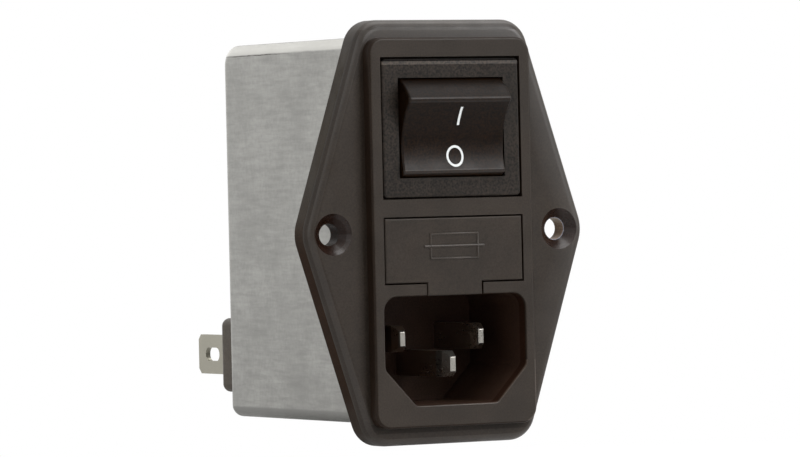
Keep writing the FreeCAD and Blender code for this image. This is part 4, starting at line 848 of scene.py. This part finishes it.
stroke = Tree("printed_stroke", Target="Object", Height="Float", Width="Float",
              Centre="Vector", Thick="Float", Bar="Bool")
oval = stroke.node("GeometryNodeCurvePrimitiveCircle", {"Resolution": 72, "Radius": 1.0})
line = stroke.node("GeometryNodeCurvePrimitiveLine", {"Start": (0, -1, 0), "End": (0, 1, 0)})
fine = stroke.node("GeometryNodeResampleCurve", {"Curve": line.outputs[0], "Count": 40})
path = stroke.node("GeometryNodeSwitch", {"Switch": stroke.inputs["Bar"],
                                          "False": oval.outputs[0], "True": fine.outputs[0]},
                   input_type="GEOMETRY")
scale = stroke.node("ShaderNodeCombineXYZ", {"X": stroke.inputs["Width"],
                                             "Y": stroke.inputs["Height"], "Z": 1.0})
sized = stroke.node("GeometryNodeTransform", {"Geometry": path.outputs[0],
                                              "Scale": scale.outputs[0]})
whole_width = stroke.node("ShaderNodeCombineXYZ", {"X": stroke.inputs["Thick"]}).outputs[0]
strip = stroke.node("GeometryNodeCurvePrimitiveLine", {
    "Start": stroke.vector_math("MULTIPLY", whole_width, (-0.5, 0.0, 0.0)),
    "End": stroke.vector_math("MULTIPLY", whole_width, (0.5, 0.0, 0.0))})
strip_fine = stroke.node("GeometryNodeResampleCurve", {"Curve": strip.outputs[0], "Count": 4})
ribbon = stroke.node("GeometryNodeCurveToMesh", {"Curve": sized.outputs[0],
                                                 "Profile Curve": strip_fine.outputs[0]})
facing = stroke.node("GeometryNodeTransform", {
    "Geometry": ribbon.outputs[0], "Rotation": (math.pi / 2, 0.0, 0.0),
    "Translation": stroke.inputs["Centre"]})
target = stroke.node("GeometryNodeObjectInfo", {"Object": stroke.inputs["Target"]})
cast = stroke.node("GeometryNodeRaycast", {
    "Target Geometry": target.outputs["Geometry"], "Ray Direction": (0.0, 1.0, 0.0),
    "Ray Length": 0.05})
lifted = stroke.vector_math("ADD", cast.outputs["Hit Position"], (0.0, -PAINT_LIFT, 0.0))
laid = stroke.node("GeometryNodeSetPosition", {"Geometry": facing.outputs[0],
                                               "Position": lifted})
stroke.finish(laid.outputs[0], ink.material)
print("stroke tree:", len(stroke.group.nodes), "nodes")

# %% [markdown]
# ## The I and the O
# Both marks come from the same tree with other sizes. They sit a little right of the
# middle, as the print on such switches often does, and ride on the rocker, so they tip
# with it. All sizes in the table are millimetres; the strokes start in front of the
# rocker and are cast back onto it.

# %% Print the I and the O
START_Y_MM = -20.0
# name, x, z, half width, half height, stroke, straight bar or not
MARKS = (("mark_on", 0.62, 17.6, 1.0, 1.36, 0.41, True),
         ("mark_off", 0.28, 11.52, 1.33, 1.46, 0.37, False))
for name, x, z, half_width, half_height, thick, bar in MARKS:
    mark = harvest(name, stroke, Target=frame["nodes"]["rocker"], Height=half_height * MM,
                   Width=half_width * MM, Thick=thick * MM, Bar=bar,
                   Centre=(x * MM, START_Y_MM * MM, z * MM))
    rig.ride(mark, "rocker")
    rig.slot(mark, "black_rocker")

# %% [markdown]
# ## The fuse symbol
# The drawer's face carries the usual sign for a fuse, a flat box with a line through it,
# raised slightly in the moulding. Relief in the material would give its shading but not
# its edge, so it is a mesh: the tree sweeps a thin round bead along the box and along the
# line, sunk just past its middle. The plastic is the drawer's black, painted lighter as a
# highlight on the beads, and a little smoother where the tool was engraved.

# %% Raise the symbol on the drawer
SIGN_WIDTH, SIGN_HEIGHT, SIGN_REACH = 8.35 * MM, 3.75 * MM, 5.3 * MM
SIGN_BEAD = 0.2 * MM
SIGN_SUNK = 0.02 * MM
SIGN_UP = -2.15 * MM
# The beads' black is painted lighter, as a painted highlight.
raised = moulded("moulded_symbol", shade(BLACK, 1.3)[:3], 0.35, 0.15, 0.002, specular=0.4)
sign = Tree("raised_sign", Width="Float", Height="Float", Reach="Float", Bead="Float")
box_line = sign.node("GeometryNodeCurvePrimitiveQuadrilateral", {
    "Width": sign.inputs["Width"], "Height": sign.inputs["Height"]})
reach = sign.node("ShaderNodeCombineXYZ", {"X": sign.inputs["Reach"]}).outputs[0]
middle_line = sign.node("GeometryNodeCurvePrimitiveLine", {
    "Start": sign.vector_math("MULTIPLY", reach, (-1.0, 0.0, 0.0)), "End": reach})
bead = sign.node("GeometryNodeCurvePrimitiveCircle", {"Resolution": 8,
                                                      "Radius": sign.inputs["Bead"]})
both = sign.node("GeometryNodeJoinGeometry")
for curve in (box_line, middle_line):
    swept = sign.node("GeometryNodeCurveToMesh", {
        "Curve": curve.outputs[0], "Profile Curve": bead.outputs[0], "Fill Caps": True})
    feed(both.inputs[0], swept.outputs[0])
sign.finish(both.outputs[0], raised.material)
symbol = harvest("fuse_symbol", sign, Width=SIGN_WIDTH, Height=SIGN_HEIGHT, Reach=SIGN_REACH,
                 Bead=SIGN_BEAD)
drawer_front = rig.box("fuse_drawer")[0].y
symbol.data.transform(Matrix.Translation((0, drawer_front + SIGN_SUNK, SIGN_UP))
                      @ Matrix.Rotation(math.pi / 2, 4, "X"))
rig.ride(symbol, "drawer")
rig.slot(symbol, "black_nylon")

# %% [markdown]
# ## The floor
# The setting is a white studio. Around the object the floor is plain pale paint, which
# takes its shadow. Lit harder, the paint would turn white by itself, but so would the
# shadow and the can. So further off it blends into pure white for the camera, for
# reflections and for glass, and floor and sky meet without a line. To a reflection the
# floor is darker towards the front right, as if a dark room lay there, which keeps the
# can's side from going flat.

# %% Mix the floor's paint
FLOOR_DROP = 7.0 * MM
PAINT = (0.88, 0.88, 0.88)
PAINT_CENTRE = (0.0, -0.09)
PAINT_REACH = (0.12, 0.20)
FLOOR_BEHIND = (-0.5, 0.866, 0.0)
FLOOR_MIRRORED_FRONT = 0.25
floor_z = cad_box[0][2] - FLOOR_DROP


def any_ray(tree, *kinds):
    """One for rays of these kinds, zero for all others."""
    rays = add_node(tree, "ShaderNodeLightPath").outputs
    total = rays[kinds[0]]
    for kind in kinds[1:]:
        total = add_node(tree, "ShaderNodeMath", {0: total, 1: rays[kind]},
                         operation="MAXIMUM").outputs[0]
    return total


def floor_paint():
    """Pale paint near the object that turns into pure white further off."""
    paint = Finish("studio_floor", PAINT, 0.9, specular_ior_level=0.0)
    away = paint.node("ShaderNodeVectorMath", {0: paint.place, 1: (*PAINT_CENTRE, floor_z)},
                      operation="DISTANCE")
    far = paint.node("ShaderNodeMapRange", {
        "Value": away.outputs["Value"], "From Min": PAINT_REACH[0], "From Max": PAINT_REACH[1]},
        interpolation_type="SMOOTHSTEP")
    behind = paint.node("ShaderNodeVectorMath", {0: paint.place, 1: FLOOR_BEHIND},
                        operation="DOT_PRODUCT")
    drop = paint.range(behind.outputs["Value"], -0.6, 0.6, FLOOR_MIRRORED_FRONT - 1.0, 0.0)
    mirrored_drop = paint.math("MULTIPLY", any_ray(paint.tree, "Is Glossy Ray"), drop)
    white = paint.node("ShaderNodeEmission",
                       {"Strength": paint.math("ADD", mirrored_drop, 1.0)})
    seen = any_ray(paint.tree, "Is Camera Ray", "Is Glossy Ray", "Is Transmission Ray")
    blend = paint.node("ShaderNodeMixShader", {
        0: paint.math("MULTIPLY", far.outputs["Result"], seen),
        1: paint.shader.outputs[0], 2: white.outputs[0]})
    feed(paint.tree.nodes["Material Output"].inputs["Surface"], blend.outputs[0])
    return paint.material


print("floor paint fades from", PAINT_REACH[0], "to", PAINT_REACH[1], "m")

# %% [markdown] ## Laying the floor Blender's ready plane would do, but four typed corners
# are as short and show where they are. The floor is far larger than the object, so its
# edge never comes into view, and it lies a little below the part, which hangs free as a
# panel part does.

# %% Lay the floor
FLOOR_SIZE = 12.0
half_floor = FLOOR_SIZE / 2
corners = [(x * half_floor, y * half_floor, floor_z)
           for x, y in ((-1, -1), (1, -1), (1, 1), (-1, 1))]
floor_mesh = bpy.data.meshes.new("floor")
floor_mesh.from_pydata(corners, [], [(0, 1, 2, 3)])
floor_mesh.materials.append(floor_paint())
floor = bpy.data.objects.new("floor", floor_mesh)
scene.collection.objects.link(floor)
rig.stage(floor)
print("floor at", round(floor_z, 4), "m")

# %% [markdown]
# ## The sky
# A studio has walls, but a world colour is simpler and meets the floor anywhere. It plays
# three parts, told apart by the kind of ray. To the camera and through glass it is pure
# white. To a reflection it is brighter above and behind than below, which gives the metal
# its soft gradient. As a light it is dimmer and faintly warm, so that shadows stay.

# %% Light the sky
SKY_LIGHT = 0.50
SKY_COLOUR = (1.0, 0.99, 0.975, 1.0)
SKY_MIRRORED = (0.30, 1.0)
SKY_SLOPE = (-0.25, 0.6, 1.0)
world = bpy.data.worlds.new("studio")
scene.world = world
world.use_nodes = True
sky = world.node_tree

light_sky = sky.nodes["Background"]
feed(light_sky.inputs["Color"], SKY_COLOUR)
feed(light_sky.inputs["Strength"], SKY_LIGHT)
white_sky = add_node(sky, "ShaderNodeBackground", {"Color": (1.0, 1.0, 1.0, 1.0),
                                                   "Strength": 1.0})
direction = add_node(sky, "ShaderNodeTexCoord").outputs["Generated"]
height = add_node(sky, "ShaderNodeVectorMath", {0: direction, 1: SKY_SLOPE},
                  operation="DOT_PRODUCT")
climb = add_node(sky, "ShaderNodeMapRange", {
    "Value": height.outputs["Value"], "From Min": -0.5, "From Max": 0.6,
    "To Min": SKY_MIRRORED[0], "To Max": SKY_MIRRORED[1]})
mirrored_sky = add_node(sky, "ShaderNodeBackground", {"Color": SKY_COLOUR,
                                                      "Strength": climb.outputs["Result"]})
unseen = add_node(sky, "ShaderNodeMixShader", {
    0: any_ray(sky, "Is Glossy Ray"), 1: light_sky.outputs[0], 2: mirrored_sky.outputs[0]})
whole = add_node(sky, "ShaderNodeMixShader", {
    0: any_ray(sky, "Is Camera Ray", "Is Transmission Ray"), 1: unseen.outputs[0],
    2: white_sky.outputs[0]})
feed(sky.nodes["World Output"].inputs["Surface"], whole.outputs[0])
print("sky lights at", SKY_LIGHT)

# %% [markdown]
# ## The lamps
# Small lamps would draw hard shadows and hot spots, so all are wide squares, placed far
# off. The largest hangs above on the right and lights the upper edges. One in front on the
# right, with a grid that narrows it, models the front. One low on the right draws the
# right rim, and weak ones behind and to the left keep the can and the left rim from going
# dark.

# %% Hang the lamps
LAMP_TARGET = Vector((0, 15, 0)) * MM
# name, place in mm, width in mm, power in watts, spread in degrees
LAMPS = (("front_right_lamp", (315, -504, 371), 350, 0.60, 80.0),
         ("top_lamp", (180, -60, 590), 600, 2.4, 180.0),
         ("rear_lamp", (-60, 680, 170), 420, 0.4, 180.0),
         ("left_lamp", (-620, -300, 160), 420, 0.6, 180.0),
         ("right_lamp", (560, -320, 30), 500, 1.3, 180.0))
for name, place_mm, width_mm, power, spread_angle in LAMPS:
    light = bpy.data.lights.new(name, "AREA")
    light.shape = "SQUARE"
    light.size = width_mm * MM
    light.energy = power
    light.spread = math.radians(spread_angle)
    lamp = bpy.data.objects.new(name, light)
    scene.collection.objects.link(lamp)
    lamp.matrix_world = aim(Vector(place_mm) * MM, LAMP_TARGET)
print("lamps:", len(LAMPS), "with", round(sum(row[3] for row in LAMPS), 2), "W in all")

# %% [markdown] ## Writing the sizes Dressing must not change the object's size, so the CAD box and the dressed box are both written out.

# %% Write the sizes and finish
with open("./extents.json", "w") as out:
    json.dump({"cad": [list(corner) for corner in cad_box],
               "visual": [list(corner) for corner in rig.bounds()]}, out)
print(open("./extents.json").read())
